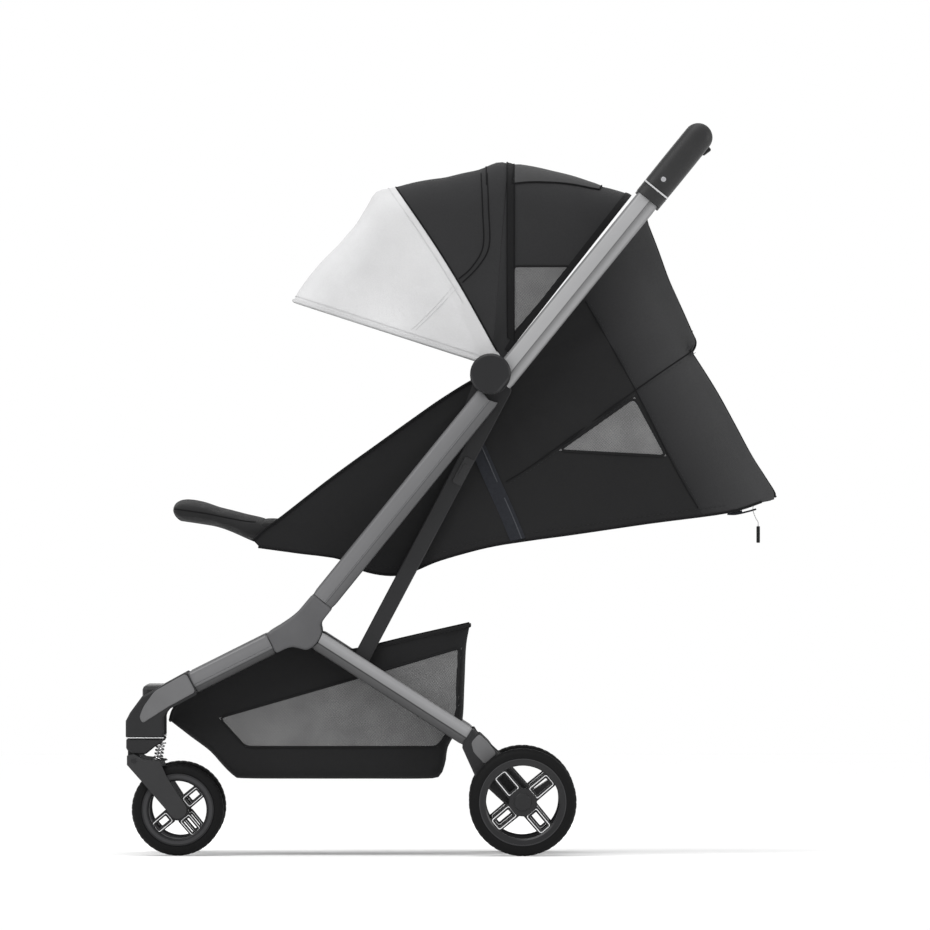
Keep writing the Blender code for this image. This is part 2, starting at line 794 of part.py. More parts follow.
def seat():
    """The seat board and cushion, the backrest, the leg rest and the harness."""
    board = prism(
        [
            (-0.270, 0.4365),
            (-0.156, 0.4205),
            (-0.123, 0.4035),
            (-0.086, 0.3970),
            (-0.086, 0.4130),
            (-0.120, 0.4180),
            (-0.155, 0.4330),
            (-0.270, 0.4490),
        ],
        -PAD_HALF,
        PAD_HALF,
    )
    piece("seat_board", board, "cloth_black")
    cushion = prism(
        [
            (-0.270, 0.4495),
            (-0.155, 0.4335),
            (-0.120, 0.4185),
            (-0.088, 0.4135),
            (-0.088, 0.4420),
            (-0.130, 0.4530),
            (-0.160, 0.4620),
            (-0.262, 0.4750),
        ],
        -PAD_HALF,
        PAD_HALF,
    )
    soften(piece("seat_cushion", cushion, "cloth_black"), 0.004)

    recline = joint_empty("recline_axis", BIGHT.x, 0, BIGHT.y)
    back = prism(
        [
            (-0.058, 0.4020),
            (-0.0155, 0.4175),
            (0.050, 0.4355),
            (0.173, 0.4540),
            (0.390, 0.4845),
            (0.416, 0.4900),
            (0.420, 0.5100),
            (0.412, 0.5180),
            (0.170, 0.4850),
            (0.040, 0.4650),
            (-0.040, 0.4450),
            (-0.068, 0.4300),
        ],
        -PAD_HALF,
        PAD_HALF,
    )
    soften(piece("backrest", back, "cloth_black", recline), 0.004)
    for name, side in SIDES.items():
        strap = [(-0.020, 0.4508), (0.040, 0.4660), (0.170, 0.4860), (0.170, 0.4885), (0.040, 0.4685), (-0.020, 0.4535)]
        piece("harness_strap_" + name, prism(strap, *span(side, 0.040, 0.065)), "strap_black", recline)

    swing = joint_empty("leg_rest_axis", LEG_REST_HINGE.x, 0, LEG_REST_HINGE.y)
    rest = prism(
        [
            (-0.2795, 0.4440),
            (-0.322, 0.4625),
            (-0.347, 0.4690),
            (-0.385, 0.4750),
            (-0.396, 0.4850),
            (-0.3725, 0.5000),
            (-0.2795, 0.4785),
        ],
        -PAD_HALF,
        PAD_HALF,
    )
    soften(piece("leg_rest", rest, "cloth_black", swing), 0.004)

    crotch = prism([(-0.168, 0.4675), (-0.140, 0.4600), (-0.132, 0.4850), (-0.160, 0.4920)], -0.020, 0.020)
    soften(piece("harness_buckle", crotch, "dark_plastic"), 0.003)


def basket():
    """The cloth shopping basket: an open trough under the seat."""
    outline = [
        (-0.396, 0.190),
        (-0.340, 0.147),
        (-0.305, 0.109),
        (-0.297, 0.108),
        (-0.0226, 0.108),
        (-0.011, 0.116),
        (-0.005, 0.152),
        (0.0155, 0.188),
        (0.021, 0.2955),
        (0.027, 0.326),
        (-0.135, 0.288),
        (-0.150, 0.2845),
        (-0.195, 0.2965),
        (-0.235, 0.2965),
        (-0.330, 0.2490),
        (-0.370, 0.2290),
        (-0.3905, 0.2070),
    ]
    inside = [
        (-0.386, 0.260),
        (-0.386, 0.1885),
        (-0.3375, 0.1510),
        (-0.3030, 0.1115),
        (-0.0240, 0.1115),
        (-0.0140, 0.1180),
        (-0.0085, 0.1535),
        (0.0120, 0.1895),
        (0.0180, 0.2960),
        (0.0240, 0.3400),
        (-0.300, 0.340),
    ]
    half = CANOPY_HALF - 0.001
    trough = piece("basket", prism(outline, -half, half), "cloth_black")
    cut(trough, prism(inside, -half + 0.003, half - 0.003))


def hang_tag():
    """The small tag that hangs on a cord from the hood's rear corner."""
    route = [(0.4305, 0.4955), (0.4290, 0.4870), (0.4325, 0.4760), (0.4360, 0.4700), (0.4364, 0.4640)]
    curve = bpy.data.curves.new("tag_cord", "CURVE")
    curve.dimensions = "3D"
    curve.bevel_depth = 0.0006
    curve.bevel_resolution = 2
    curve.use_fill_caps = True
    run = curve.splines.new("POLY")
    points = smooth_route(route, 4)
    run.points.add(len(points) - 1)
    for point, (x, z) in zip(run.points, points):
        point.co = (x, 0.120, z, 1.0)
    curve.materials.append(material("tag_white"))
    cord = bpy.data.objects.new("tag_cord", curve)
    bpy.context.scene.collection.objects.link(cord)
    tag = prism([(0.4339, 0.4400), (0.4339, 0.4637), (0.4389, 0.4637), (0.4389, 0.4400)], 0.1165, 0.1235)
    piece("hang_tag", tag, "strap_black")


def smooth_route(points, steps):
    """Points on a Catmull-Rom curve through a route."""
    padded = [points[0], *points, points[-1]]
    made = []
    for index in range(1, len(padded) - 2):
        first, start, end, last = (Vector(p) for p in padded[index - 1 : index + 3])
        for step in range(steps):
            t = step / steps
            made.append(
                tuple(
                    0.5
                    * (
                        2 * start
                        + (end - first) * t
                        + (2 * first - 5 * start + 4 * end - last) * t**2
                        + (3 * start - first - 3 * end + last) * t**3
                    )
                )
            )
    made.append(points[-1])
    return made


def main():
    clear_scene()
    fold = joint_empty("fold_axis", HUB.x, 0, HUB.y)
    for name, side in SIDES.items():
        side_frame(side, name)
        hub_plate(side, name)
        upper_frame(side, name, fold)
        front_wheel(side, name)
    handlebar(fold)
    cross_members()
    struts(rear_legs())
    canopy()
    hood()
    seat()
    basket()
    hang_tag()


main()
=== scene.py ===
"""Looks of a folding baby stroller, built round its CAD frame. Metres: front -X, left -Y, up +Z."""

import json
import math

import bmesh
import bpy
import numpy as np
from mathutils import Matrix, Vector, noise


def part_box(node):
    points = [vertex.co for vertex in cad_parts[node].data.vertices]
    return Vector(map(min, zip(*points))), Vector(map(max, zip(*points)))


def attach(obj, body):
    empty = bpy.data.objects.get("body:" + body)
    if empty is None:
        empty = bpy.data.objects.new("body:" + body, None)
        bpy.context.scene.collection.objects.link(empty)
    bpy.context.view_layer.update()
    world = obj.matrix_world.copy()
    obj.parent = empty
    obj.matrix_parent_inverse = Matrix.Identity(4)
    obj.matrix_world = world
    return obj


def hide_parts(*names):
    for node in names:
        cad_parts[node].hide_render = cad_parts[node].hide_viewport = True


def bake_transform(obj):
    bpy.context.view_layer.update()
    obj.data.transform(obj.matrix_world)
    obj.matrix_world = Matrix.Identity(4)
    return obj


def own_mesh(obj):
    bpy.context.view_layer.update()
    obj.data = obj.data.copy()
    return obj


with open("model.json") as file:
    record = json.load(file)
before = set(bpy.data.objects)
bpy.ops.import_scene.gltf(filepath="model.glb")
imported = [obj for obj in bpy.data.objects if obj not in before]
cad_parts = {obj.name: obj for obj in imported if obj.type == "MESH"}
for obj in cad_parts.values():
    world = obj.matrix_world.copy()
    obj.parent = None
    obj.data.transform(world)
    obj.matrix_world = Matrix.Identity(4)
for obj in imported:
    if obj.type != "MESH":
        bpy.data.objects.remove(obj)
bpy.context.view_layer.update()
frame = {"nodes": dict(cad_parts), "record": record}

RECORD = frame["record"]
JOINTS = {joint["name"]: joint for joint in RECORD["behaviour"]["joints"]}
SIDES = {"left": -1, "right": 1}
VIEW_WIDE = 1.3173
CAMERA_AWAY = 35.0


def joint_xz(name):
    x, _, z = JOINTS[name]["pos_m"]
    return Vector((x, z))


HUB = joint_xz("handle_fold")
KNUCKLE = joint_xz("rear_leg_fold")
TUBE_ANGLE = math.radians(51.0)
TUBE_DIR = Vector((math.cos(TUBE_ANGLE), math.sin(TUBE_ANGLE)))
LEG_ANGLE = math.radians(206.57)
REAR_ANGLE = math.radians(-32.7)
TUBE_OUT = -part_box("upper_tube_left")[0][1]
TUBE_IN = -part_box("upper_tube_left")[1][1]
TUBE_HALF = 0.0173
CLOTH_HALF = -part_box("hood_side_left")[0][1]
CANOPY_HALF = -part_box("canopy_rear")[0][1]
PAD_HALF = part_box("backrest")[1][1]


# ---------------------------------------------------------------- materials


class Nodes:
    """A material's node tree, with short calls to add to it."""

    def __init__(self, name):
        self.material = bpy.data.materials.new(name)
        self.material.use_nodes = True
        self.tree = self.material.node_tree
        self.shader = self.tree.nodes["Principled BSDF"]

    def add(self, kind, **settings):
        node = self.tree.nodes.new(kind)
        for key, value in settings.items():
            setattr(node, key, value)
        return node

    def link(self, source, target):
        self.tree.links.new(source, target)

    def place(self):
        if not hasattr(self, "coordinates"):
            self.coordinates = self.add("ShaderNodeTexCoord").outputs["Object"]
        return self.coordinates

    def noise(self, scale, detail=3.0, stretch=None):
        node = self.add("ShaderNodeTexNoise")
        node.inputs["Scale"].default_value = scale
        node.inputs["Detail"].default_value = detail
        if stretch is None:
            self.link(self.place(), node.inputs["Vector"])
        else:
            mapping = self.add("ShaderNodeMapping")
            mapping.inputs["Scale"].default_value = stretch
            self.link(self.place(), mapping.inputs["Vector"])
            self.link(mapping.outputs["Vector"], node.inputs["Vector"])
        return node.outputs["Fac"]

    def math(self, operation, first, second=None, third=None):
        node = self.add("ShaderNodeMath", operation=operation)
        for index, value in enumerate((first, second, third)):
            if value is None:
                continue
            if isinstance(value, (int, float)):
                node.inputs[index].default_value = value
            else:
                self.link(value, node.inputs[index])
        return node.outputs[0]

    def blend(self, factor, low, high):
        """A colour between low and high, by a factor from 0 to 1."""
        node = self.add("ShaderNodeMix", data_type="RGBA")
        self.link(factor, node.inputs["Factor"])
        for socket, value in (("A", low), ("B", high)):
            colour_input = [s for s in node.inputs if s.name == socket and s.type == "RGBA"][0]
            if isinstance(value, tuple):
                colour_input.default_value = (*value, 1.0)
            else:
                self.link(value, colour_input)
        return [s for s in node.outputs if s.type == "RGBA"][0]

    def spread(self, value, low, high):
        """A factor of 0 to 1 turned into low to high."""
        return self.math("MULTIPLY_ADD", value, high - low, low)

    def bump(self, height, depth, strength=1.0):
        node = self.add("ShaderNodeBump")
        node.inputs["Distance"].default_value = depth
        node.inputs["Strength"].default_value = strength
        self.link(height, node.inputs["Height"])
        if hasattr(self, "normal"):
            self.link(self.normal, node.inputs["Normal"])
        self.normal = node.outputs["Normal"]
        self.link(self.normal, self.shader.inputs["Normal"])

    def set(self, **values):
        for name, value in values.items():
            self.shader.inputs[name.replace("_", " ")].default_value = value

    def sines(self, pitch):
        """Two crossing sets of ribs, which show on a face however it stands."""
        parts = self.add("ShaderNodeSeparateXYZ")
        self.link(self.place(), parts.inputs[0])
        x, y, z = parts.outputs
        turns = math.tau / pitch
        first = self.math("SINE", self.math("MULTIPLY", self.math("ADD", x, y), turns))
        second = self.math("SINE", self.math("MULTIPLY", self.math("MULTIPLY_ADD", y, 0.5, z), turns))
        return first, second


def shade(colour, factor):
    return tuple(min(1.0, channel * factor) for channel in colour)


def metal(name, colour, roughness, metallic, brush=(60.0, 60.0, 60.0)):
    made = Nodes(name)
    tone = made.noise(9.0, 4.0)
    made.link(made.blend(tone, shade(colour, 0.9), shade(colour, 1.1)), made.shader.inputs["Base Color"])
    grain = made.noise(14.0, 5.0, brush)
    made.link(made.spread(grain, roughness - 0.08, roughness + 0.1), made.shader.inputs["Roughness"])
    made.set(Metallic=metallic)
    made.bump(grain, 0.00006, 0.6)
    return made.material


def metal_with_painted_shade_bands(name, colour, roughness, origin, angle, half, stops):
    """Brushed metal with painted light and shade in bands across a tube that runs from origin at an angle: lighter
    bands on the faces turned to the light, painted shade in the groove and at the edges. The stops, levels of painted
    light and shade, run from rear to front.
    """
    made = Nodes(name)
    parts = made.add("ShaderNodeSeparateXYZ")
    made.link(made.place(), parts.inputs[0])
    x, _, z = parts.outputs
    aside = made.math("MULTIPLY_ADD", x, -math.sin(angle), origin[0] * math.sin(angle) - origin[1] * math.cos(angle))
    aside = made.math("MULTIPLY_ADD", z, math.cos(angle), aside)
    share = made.math("MULTIPLY_ADD", aside, 0.5 / half, 0.5)
    # Painted light and shade: a grey ramp across the tube, multiplied into the metal's colour.
    ramp = made.add("ShaderNodeValToRGB")
    made.link(share, ramp.inputs["Fac"])
    points = ramp.color_ramp.elements
    while len(points) < len(stops):
        points.new(0.5)
    for point, (place, level) in zip(points, stops):
        point.position = place
        point.color = (level, level, level, 1.0)
    tone = made.blend(made.noise(9.0, 4.0), shade(colour, 0.93), shade(colour, 1.07))
    mix = made.add("ShaderNodeMix", data_type="RGBA", blend_type="MULTIPLY")
    mix.inputs["Factor"].default_value = 1.0
    colours = [socket for socket in mix.inputs if socket.type == "RGBA"]
    made.link(tone, colours[0])
    made.link(ramp.outputs["Color"], colours[1])
    made.link([socket for socket in mix.outputs if socket.type == "RGBA"][0], made.shader.inputs["Base Color"])
    grain = made.noise(14.0, 5.0, (500.0, 60.0, 500.0))
    made.link(made.spread(grain, roughness - 0.06, roughness + 0.08), made.shader.inputs["Roughness"])
    made.set(Metallic=0.25, Specular_IOR_Level=0.3)
    made.bump(grain, 0.00004, 0.5)
    return made.material


def plastic(name, colour, roughness, grain_depth=0.00005, coat=0.0, shine=0.3):
    made = Nodes(name)
    tone = made.noise(22.0, 4.0)
    made.link(made.blend(tone, shade(colour, 0.82), shade(colour, 1.2)), made.shader.inputs["Base Color"])
    speckle = made.noise(1500.0, 2.0)
    made.link(made.spread(made.noise(70.0, 3.0), roughness - 0.06, roughness + 0.08), made.shader.inputs["Roughness"])
    made.set(Coat_Weight=coat, Coat_Roughness=0.1, Specular_IOR_Level=shine)
    made.bump(speckle, grain_depth, 0.5)
    return made.material


def cloth(name, colour, pitch=0.0016, sheen=0.15, heather=0.35, roughness=0.88):
    return cloth_nodes(name, colour, pitch, sheen, heather, roughness).material


def side_cloth(name, front, middle, back):
    """Body cloth that steps to a lighter tone behind the long seam, then pales further toward the back edge; that
    paling is painted light, standing in for the cloth turning round toward the back.
    """
    made = cloth_nodes(name, (1.0, 1.0, 1.0), 0.0016, 0.06, 0.35, 0.88)
    top, foot = Vector(SEAM_1[0]), Vector(SEAM_1[-1])
    run = (foot - top).normalized()
    away = Vector((-run.y, run.x))
    parts = made.add("ShaderNodeSeparateXYZ")
    made.link(made.place(), parts.inputs[0])
    x, _, z = parts.outputs
    reach = 0.085
    behind = made.math("MULTIPLY_ADD", x, away.x / reach, -top.dot(away) / reach)
    behind = made.math("MULTIPLY_ADD", z, away.y / reach, behind)
    # Painted light: the tone pales over 85 mm behind the seam, where the cloth turns toward the back.
    ramp = made.add("ShaderNodeValToRGB")
    made.link(behind, ramp.inputs["Fac"])
    points = ramp.color_ramp.elements
    points.new(0.03)
    for point, (place, colour) in zip(points, ((0.0, front), (0.03, middle), (1.0, back))):
        point.position = place
        point.color = (*colour, 1.0)
    mix = made.add("ShaderNodeMix", data_type="RGBA", blend_type="MULTIPLY")
    mix.inputs["Factor"].default_value = 1.0
    colours = [socket for socket in mix.inputs if socket.type == "RGBA"]
    made.link(made.shader.inputs["Base Color"].links[0].from_socket, colours[0])
    made.link(ramp.outputs["Color"], colours[1])
    made.link([socket for socket in mix.outputs if socket.type == "RGBA"][0], made.shader.inputs["Base Color"])
    return made.material


def cloth_nodes(name, colour, pitch, sheen, heather, roughness):
    made = Nodes(name)
    first, second = made.sines(pitch)
    weave = made.math("MULTIPLY", first, second)
    fleck = made.noise(420.0, 2.0)
    wide = made.noise(7.0, 3.0)
    tone = made.math("ADD", made.math("MULTIPLY", fleck, heather), made.math("MULTIPLY", wide, 1.0 - heather))
    made.link(made.blend(tone, shade(colour, 0.72), tuple(c * 1.3 for c in colour)), made.shader.inputs["Base Color"])
    made.link(made.spread(wide, roughness - 0.05, roughness + 0.08), made.shader.inputs["Roughness"])
    made.set(Sheen_Weight=sheen, Sheen_Roughness=0.45, Specular_IOR_Level=0.12)
    made.bump(weave, 0.00022, 0.6)
    made.bump(made.noise(38.0, 3.0), 0.0012, 0.25)
    return made


def net(name, thread, gap, pitch=0.0026):
    """Open mesh cloth: rows of small holes, their gaps painted a light grey in brighter and darker patches, standing in
    for light seen through the mesh.
    """
    made = Nodes(name)
    first, second = made.sines(pitch)
    hole = made.math("GREATER_THAN", made.math("MULTIPLY", first, second), 0.12)
    # Painted light: the gap colour, varied in patches, stands for light seen through the holes.
    painted_light_patches = made.noise(26.0, 4.0)
    painted_through_light = made.blend(painted_light_patches, shade(gap, 0.62), shade(gap, 1.45))
    made.link(made.blend(hole, thread, painted_through_light), made.shader.inputs["Base Color"])
    made.set(Roughness=0.8, Sheen_Weight=0.1, Specular_IOR_Level=0.1)
    made.bump(made.math("MULTIPLY", first, second), 0.0004, 0.8)
    return made.material


def webbing(name, colour, line):
    """Ribbed strap: fine ribs across it, and a lighter thread."""
    made = Nodes(name)
    first, second = made.sines(0.0011)
    rib = made.math("ADD", first, second)
    fleck = made.noise(300.0, 2.0)
    made.link(made.blend(fleck, colour, line), made.shader.inputs["Base Color"])
    made.set(Roughness=0.75, Sheen_Weight=0.1, Specular_IOR_Level=0.15)
    made.bump(rib, 0.0003, 0.7)
    return made.material


def leather(name, colour):
    made = Nodes(name)
    cells = made.add("ShaderNodeTexVoronoi", feature="DISTANCE_TO_EDGE")
    cells.inputs["Scale"].default_value = 650.0
    made.link(made.place(), cells.inputs["Vector"])
    tone = made.noise(40.0, 4.0)
    made.link(made.blend(tone, shade(colour, 0.75), shade(colour, 1.3)), made.shader.inputs["Base Color"])
    made.link(made.spread(tone, 0.42, 0.6), made.shader.inputs["Roughness"])
    made.set(Specular_IOR_Level=0.36, Sheen_Weight=0.03)
    made.bump(cells.outputs["Distance"], 0.0003, 0.6)
    return made.material


def rubber(name, colour):
    made = Nodes(name)
    dust = made.noise(30.0, 5.0)
    made.link(made.blend(dust, shade(colour, 0.7), shade(colour, 1.7)), made.shader.inputs["Base Color"])
    made.link(made.spread(dust, 0.55, 0.85), made.shader.inputs["Roughness"])
    made.set(Specular_IOR_Level=0.12)
    made.bump(made.noise(900.0, 2.0), 0.00012, 0.5)
    return made.material


def make_materials():
    return {
        # The four tube and leg materials below carry painted light and shade in bands across each tube.
        "tube": metal_with_painted_shade_bands(
            "upper_tube_painted_shading", (0.325, 0.325, 0.33), 0.58, along(HUB, TUBE_ANGLE, 0, -TUBE_HALF), TUBE_ANGLE, TUBE_HALF,
            ((0.0, 0.55), (0.10, 0.86), (0.20, 0.80), (0.33, 0.52), (0.40, 0.46), (0.43, 0.94), (0.88, 1.0), (0.93, 0.5)),
        ),
        "tube_low": metal_with_painted_shade_bands(
            "lower_tube_painted_shading", (0.152, 0.152, 0.156), 0.42, KNUCKLE, TUBE_ANGLE, TUBE_HALF,
            ((0.0, 0.55), (0.30, 0.68), (0.34, 0.40), (0.37, 0.90), (0.70, 1.0), (0.88, 1.0), (0.93, 0.65)),
        ),
        "leg": metal_with_painted_shade_bands(
            "front_leg_painted_shading", (0.160, 0.160, 0.164), 0.42, KNUCKLE, LEG_ANGLE - math.pi, 0.016,
            ((0.0, 0.22), (0.22, 0.40), (0.26, 0.25), (0.31, 0.85), (0.70, 1.0), (0.88, 0.95), (0.94, 0.6)),
        ),
        "rear_leg": metal_with_painted_shade_bands(
            "rear_leg_painted_shading", (0.25, 0.25, 0.255), 0.42, KNUCKLE, REAR_ANGLE, 0.014,
            ((0.0, 0.20), (0.36, 0.32), (0.42, 0.22), (0.46, 0.80), (0.75, 1.1), (1.0, 0.95)),
        ),
        "casting": plastic("casting_finish", (0.080, 0.080, 0.083), 0.5),
        "cover": plastic("cover_finish", (0.118, 0.118, 0.121), 0.42),
        "tube_dark": metal("tube_groove_finish", (0.05, 0.05, 0.053), 0.45, 0.4),
        "plastic": plastic("black_plastic_finish", (0.012, 0.012, 0.013), 0.42),
        "plastic_soft": plastic("grey_plastic_finish", (0.022, 0.022, 0.023), 0.5),
        "plastic_gloss": plastic("gloss_plastic_finish", (0.009, 0.009, 0.010), 0.34, 0.00002, 0.1),
        "ring": plastic("rim_ring_finish", (0.03, 0.03, 0.032), 0.4),
        "chrome": metal("chrome_finish", (0.86, 0.86, 0.87), 0.16, 1.0),
        "steel": metal("steel_finish", (0.5, 0.5, 0.52), 0.3, 1.0),
        "rubber": rubber("tyre_finish", (0.0045, 0.0045, 0.0047)),
        "body_cloth": cloth("body_cloth_finish", (0.0145, 0.0145, 0.015), sheen=0.05),
        # The side cloth's paling toward the back edge is painted light.
        "side_cloth": side_cloth("side_cloth_painted_light", (0.0145, 0.0145, 0.015), (0.020, 0.020, 0.021), (0.041, 0.041, 0.042)),
        "pad_cloth": cloth("pad_cloth_finish", (0.022, 0.022, 0.0225), sheen=0.08),
        "flap_cloth": cloth("flap_cloth_finish", (0.050, 0.050, 0.051), sheen=0.1),
        "roof_cloth": cloth("roof_cloth_finish", (0.027, 0.027, 0.028), sheen=0.09),
        "back_cloth": cloth("back_cloth_finish", (0.026, 0.026, 0.027), sheen=0.15),
        "visor_cloth": cloth("visor_cloth_finish", (0.58, 0.58, 0.585), 0.0013, 0.05, 0.15),
        "visor_hem": cloth("visor_hem_finish", (0.52, 0.52, 0.525), 0.0010, 0.05, 0.15),
        "piping": cloth("piping_finish", (0.007, 0.007, 0.0075), 0.0009, 0.03),
        "binding": cloth("binding_finish", (0.012, 0.012, 0.0125), 0.0009, 0.05),
        "thread": cloth("thread_finish", (0.024, 0.024, 0.025), 0.0006, 0.05),
        # The net's gap colour is painted light seen through the mesh.
        "net": net("net_painted_see_through_light", (0.045, 0.045, 0.046), (0.30, 0.30, 0.30), 0.0021),
        "strap": webbing("strap_finish", (0.012, 0.013, 0.017), (0.022, 0.024, 0.030)),
        "strap_line": webbing("strap_line_finish", (0.045, 0.048, 0.055), (0.08, 0.085, 0.095)),
        "leather": leather("grip_finish", (0.013, 0.013, 0.0135)),
        "tag": cloth("tag_finish", (0.6, 0.6, 0.6), 0.0008, 0.1),
        "tag_print": plastic("tag_print_finish", (0.008, 0.008, 0.008), 0.6),
    }


# ---------------------------------------------------------------- mesh tools


def mesh_piece(name, points, faces, material, body=None, smooth=30.0):
    mesh = bpy.data.meshes.new(name)
    mesh.from_pydata([tuple(p) for p in points], [], faces)
    mesh.validate()
    work = bmesh.new()
    work.from_mesh(mesh)
    bmesh.ops.remove_doubles(work, verts=work.verts, dist=1e-6)
    bmesh.ops.recalc_face_normals(work, faces=work.faces)
    work.to_mesh(mesh)
    work.free()
    mesh.shade_smooth()
    mesh.set_sharp_from_angle(angle=math.radians(smooth))
    mesh.materials.append(material)
    made = bpy.data.objects.new(name, mesh)
    bpy.context.scene.collection.objects.link(made)
    if body:
        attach(made, body)
    return made


def joined(name, parts, material, body=None, smooth=30.0):
    """One piece made of several (points, faces) shapes."""
    points = []
    faces = []
    for some_points, some_faces in parts:
        base = len(points)
        points += list(some_points)
        faces += [tuple(base + index for index in face) for face in some_faces]
    return mesh_piece(name, points, faces, material, body, smooth)


def closed_grid(outer, inner):
    """Points and faces of a closed sheet between two grids."""
    rows, columns = len(outer), len(outer[0])
    points = [p for row in outer for p in row] + [p for row in inner for p in row]
    shift = rows * columns
    faces = []

    def at(row, column):
        return row * columns + column

    for row in range(rows - 1):
        for column in range(columns - 1):
            quad = (at(row, column), at(row + 1, column), at(row + 1, column + 1), at(row, column + 1))
            faces.append(quad)
            faces.append(tuple(shift + index for index in reversed(quad)))
    for row in range(rows - 1):
        for column in (0, columns - 1):
            faces.append((at(row, column), at(row + 1, column), shift + at(row + 1, column), shift + at(row, column)))
    for column in range(columns - 1):
        for row in (0, rows - 1):
            faces.append((at(row, column), at(row, column + 1), shift + at(row, column + 1), shift + at(row, column)))
    return points, faces


def grid_normals(grid):
    """A unit normal at every point of a grid."""
    array = np.array([[tuple(p) for p in row] for row in grid], float)
    along = np.gradient(array, axis=0)
    across = np.gradient(array, axis=1)
    normal = np.cross(along, across)
    length = np.linalg.norm(normal, axis=2, keepdims=True)
    return array, normal / np.maximum(length, 1e-12)


def sheet(name, grid, thick, material, body, side=1.0):
    """A cloth sheet of some thickness on the side of the grid that its normals point away from."""
    array, normal = grid_normals(grid)
    inner = array - normal * thick * side
    points, faces = closed_grid(array.tolist(), inner.tolist())
    return mesh_piece(name, points, faces, material, body, 50.0)


def sweep(path, radius, sides=8, flat=1.0, up=None, closed=False):
    """Points and faces of a rod along a path. flat scales its thickness across up."""
    path = [Vector(p) for p in path]
    count = len(path)
    points = []
    lead = Vector(up) if up else Vector((0, 1, 0))
    for index, point in enumerate(path):
        before = path[(index - 1) % count] if closed else path[max(index - 1, 0)]
        after = path[(index + 1) % count] if closed else path[min(index + 1, count - 1)]
        run = (after - before).normalized()
        aside = run.cross(lead)
        if aside.length < 1e-6:
            aside = run.cross(Vector((0, 0, 1)))
        aside.normalize()
        high = aside.cross(run).normalized()
        for step in range(sides):
            angle = math.tau * step / sides
            points.append(point + aside * (radius * math.cos(angle)) + high * (radius * flat * math.sin(angle)))
    faces = []
    for index in range(count if closed else count - 1):
        for step in range(sides):
            here = index * sides + step
            beside = index * sides + (step + 1) % sides
            following = ((index + 1) % count) * sides
            faces.append((here, beside, following + (step + 1) % sides, following + step))
    if not closed:
        faces.append(tuple(range(sides - 1, -1, -1)))
        faces.append(tuple((count - 1) * sides + step for step in range(sides)))
    return points, faces


def smooth_line(points, steps=6):
    """Points on a Catmull-Rom curve through the given ones."""
    if len(points) < 3:
        return [Vector(points[0]).lerp(Vector(points[-1]), k / steps) for k in range(steps + 1)]
    padded = [Vector(points[0]), *map(Vector, points), Vector(points[-1])]
    made = []
    for index in range(1, len(padded) - 2):
        a, b, c, d = padded[index - 1 : index + 3]
        for step in range(steps):
            t = step / steps
            made.append(
                0.5 * (2 * b + (c - a) * t + (2 * a - 5 * b + 4 * c - d) * t**2 + (3 * b - a - 3 * c + d) * t**3)
            )
    made.append(padded[-1])
    return made


def even_line(points, count):
    """The same line with a given number of evenly spaced points."""
    points = [Vector(p) for p in points]
    lengths = [0.0]
    for first, second in zip(points, points[1:]):
        lengths.append(lengths[-1] + (second - first).length)
    made = []
    part = 0
    for index in range(count):
        target = lengths[-1] * index / (count - 1)
        while part < len(points) - 2 and lengths[part + 1] < target:
            part += 1
        share = (target - lengths[part]) / max(lengths[part + 1] - lengths[part], 1e-9)
        made.append(points[part].lerp(points[part + 1], min(1.0, max(0.0, share))))
    return made


def coons(bottom, top, left, right, across, up, crowd=1.0):
    """A grid of (X, Z) points inside four border lines. crowd above 1 draws the columns together on the right."""
    fine = 4000
    b = even_line(bottom, fine + 1)
    t = even_line(top, fine + 1)
    l = even_line(left, up)
    r = even_line(right, up)
    grid = []
    for i in range(across):
        u = 1 - (1 - i / (across - 1)) ** crowd
        place = round(u * fine)
        u = place / fine
        row = []
        for j in range(up):
            v = j / (up - 1)
            edge = b[place] * (1 - v) + t[place] * v + l[j] * (1 - u) + r[j] * u
            corner = b[0] * (1 - u) * (1 - v) + b[-1] * u * (1 - v) + t[0] * (1 - u) * v + t[-1] * u * v
            row.append(edge - corner)
        grid.append(row)
    return grid


def along(origin, angle, ahead, aside):
    return (
        origin[0] + ahead * math.cos(angle) - aside * math.sin(angle),
        origin[1] + ahead * math.sin(angle) + aside * math.cos(angle),
    )


def arc(centre, radius, start, end, count):
    points = []
    for index in range(count):
        angle = math.radians(start + (end - start) * index / (count - 1))
        points.append((centre[0] + radius * math.cos(angle), centre[1] + radius * math.sin(angle)))
    return points


def rounded(outline, radius, steps=4):
    """A closed outline with its corners rounded."""
    made = []
    count = len(outline)
    for index in range(count):
        corner = Vector(outline[index])
        before = Vector(outline[index - 1])
        after = Vector(outline[(index + 1) % count])
        cut = min(radius, (corner - before).length * 0.45, (after - corner).length * 0.45)
        start = corner + (before - corner).normalized() * cut
        end = corner + (after - corner).normalized() * cut
        for step in range(steps + 1):
            t = step / steps
            made.append(tuple(start * (1 - t) ** 2 + corner * (2 * t * (1 - t)) + end * t**2))
    return made


def slab(outline, low, high, edge=0.0008):
    """Points and faces of an (X, Z) outline with thickness along Y and a chamfered rim."""
    count = len(outline)
    middle = Vector((sum(p[0] for p in outline) / count, sum(p[1] for p in outline) / count))
    inset = []
    for index in range(count):
        before = Vector(outline[index - 1])
        after = Vector(outline[(index + 1) % count])
        run = (after - before).normalized()
        normal = Vector((-run.y, run.x))
        point = Vector(outline[index])
        if (point + normal * 1e-4 - middle).length > (point - middle).length:
            normal = -normal
        inset.append(point + normal * edge)
    rings = [
        [(p[0], low, p[1]) for p in inset],
        [(p[0], low + edge, p[1]) for p in outline],
        [(p[0], high - edge, p[1]) for p in outline],
        [(p[0], high, p[1]) for p in inset],
    ]
    points = [p for ring in rings for p in ring]
    faces = [tuple(range(count)), tuple(3 * count + k for k in reversed(range(count)))]
    for ring in range(3):
        for index in range(count):
            following = (index + 1) % count
            faces.append(
                (ring * count + index, (ring + 1) * count + index, (ring + 1) * count + following, ring * count + following)
            )
    return points, faces


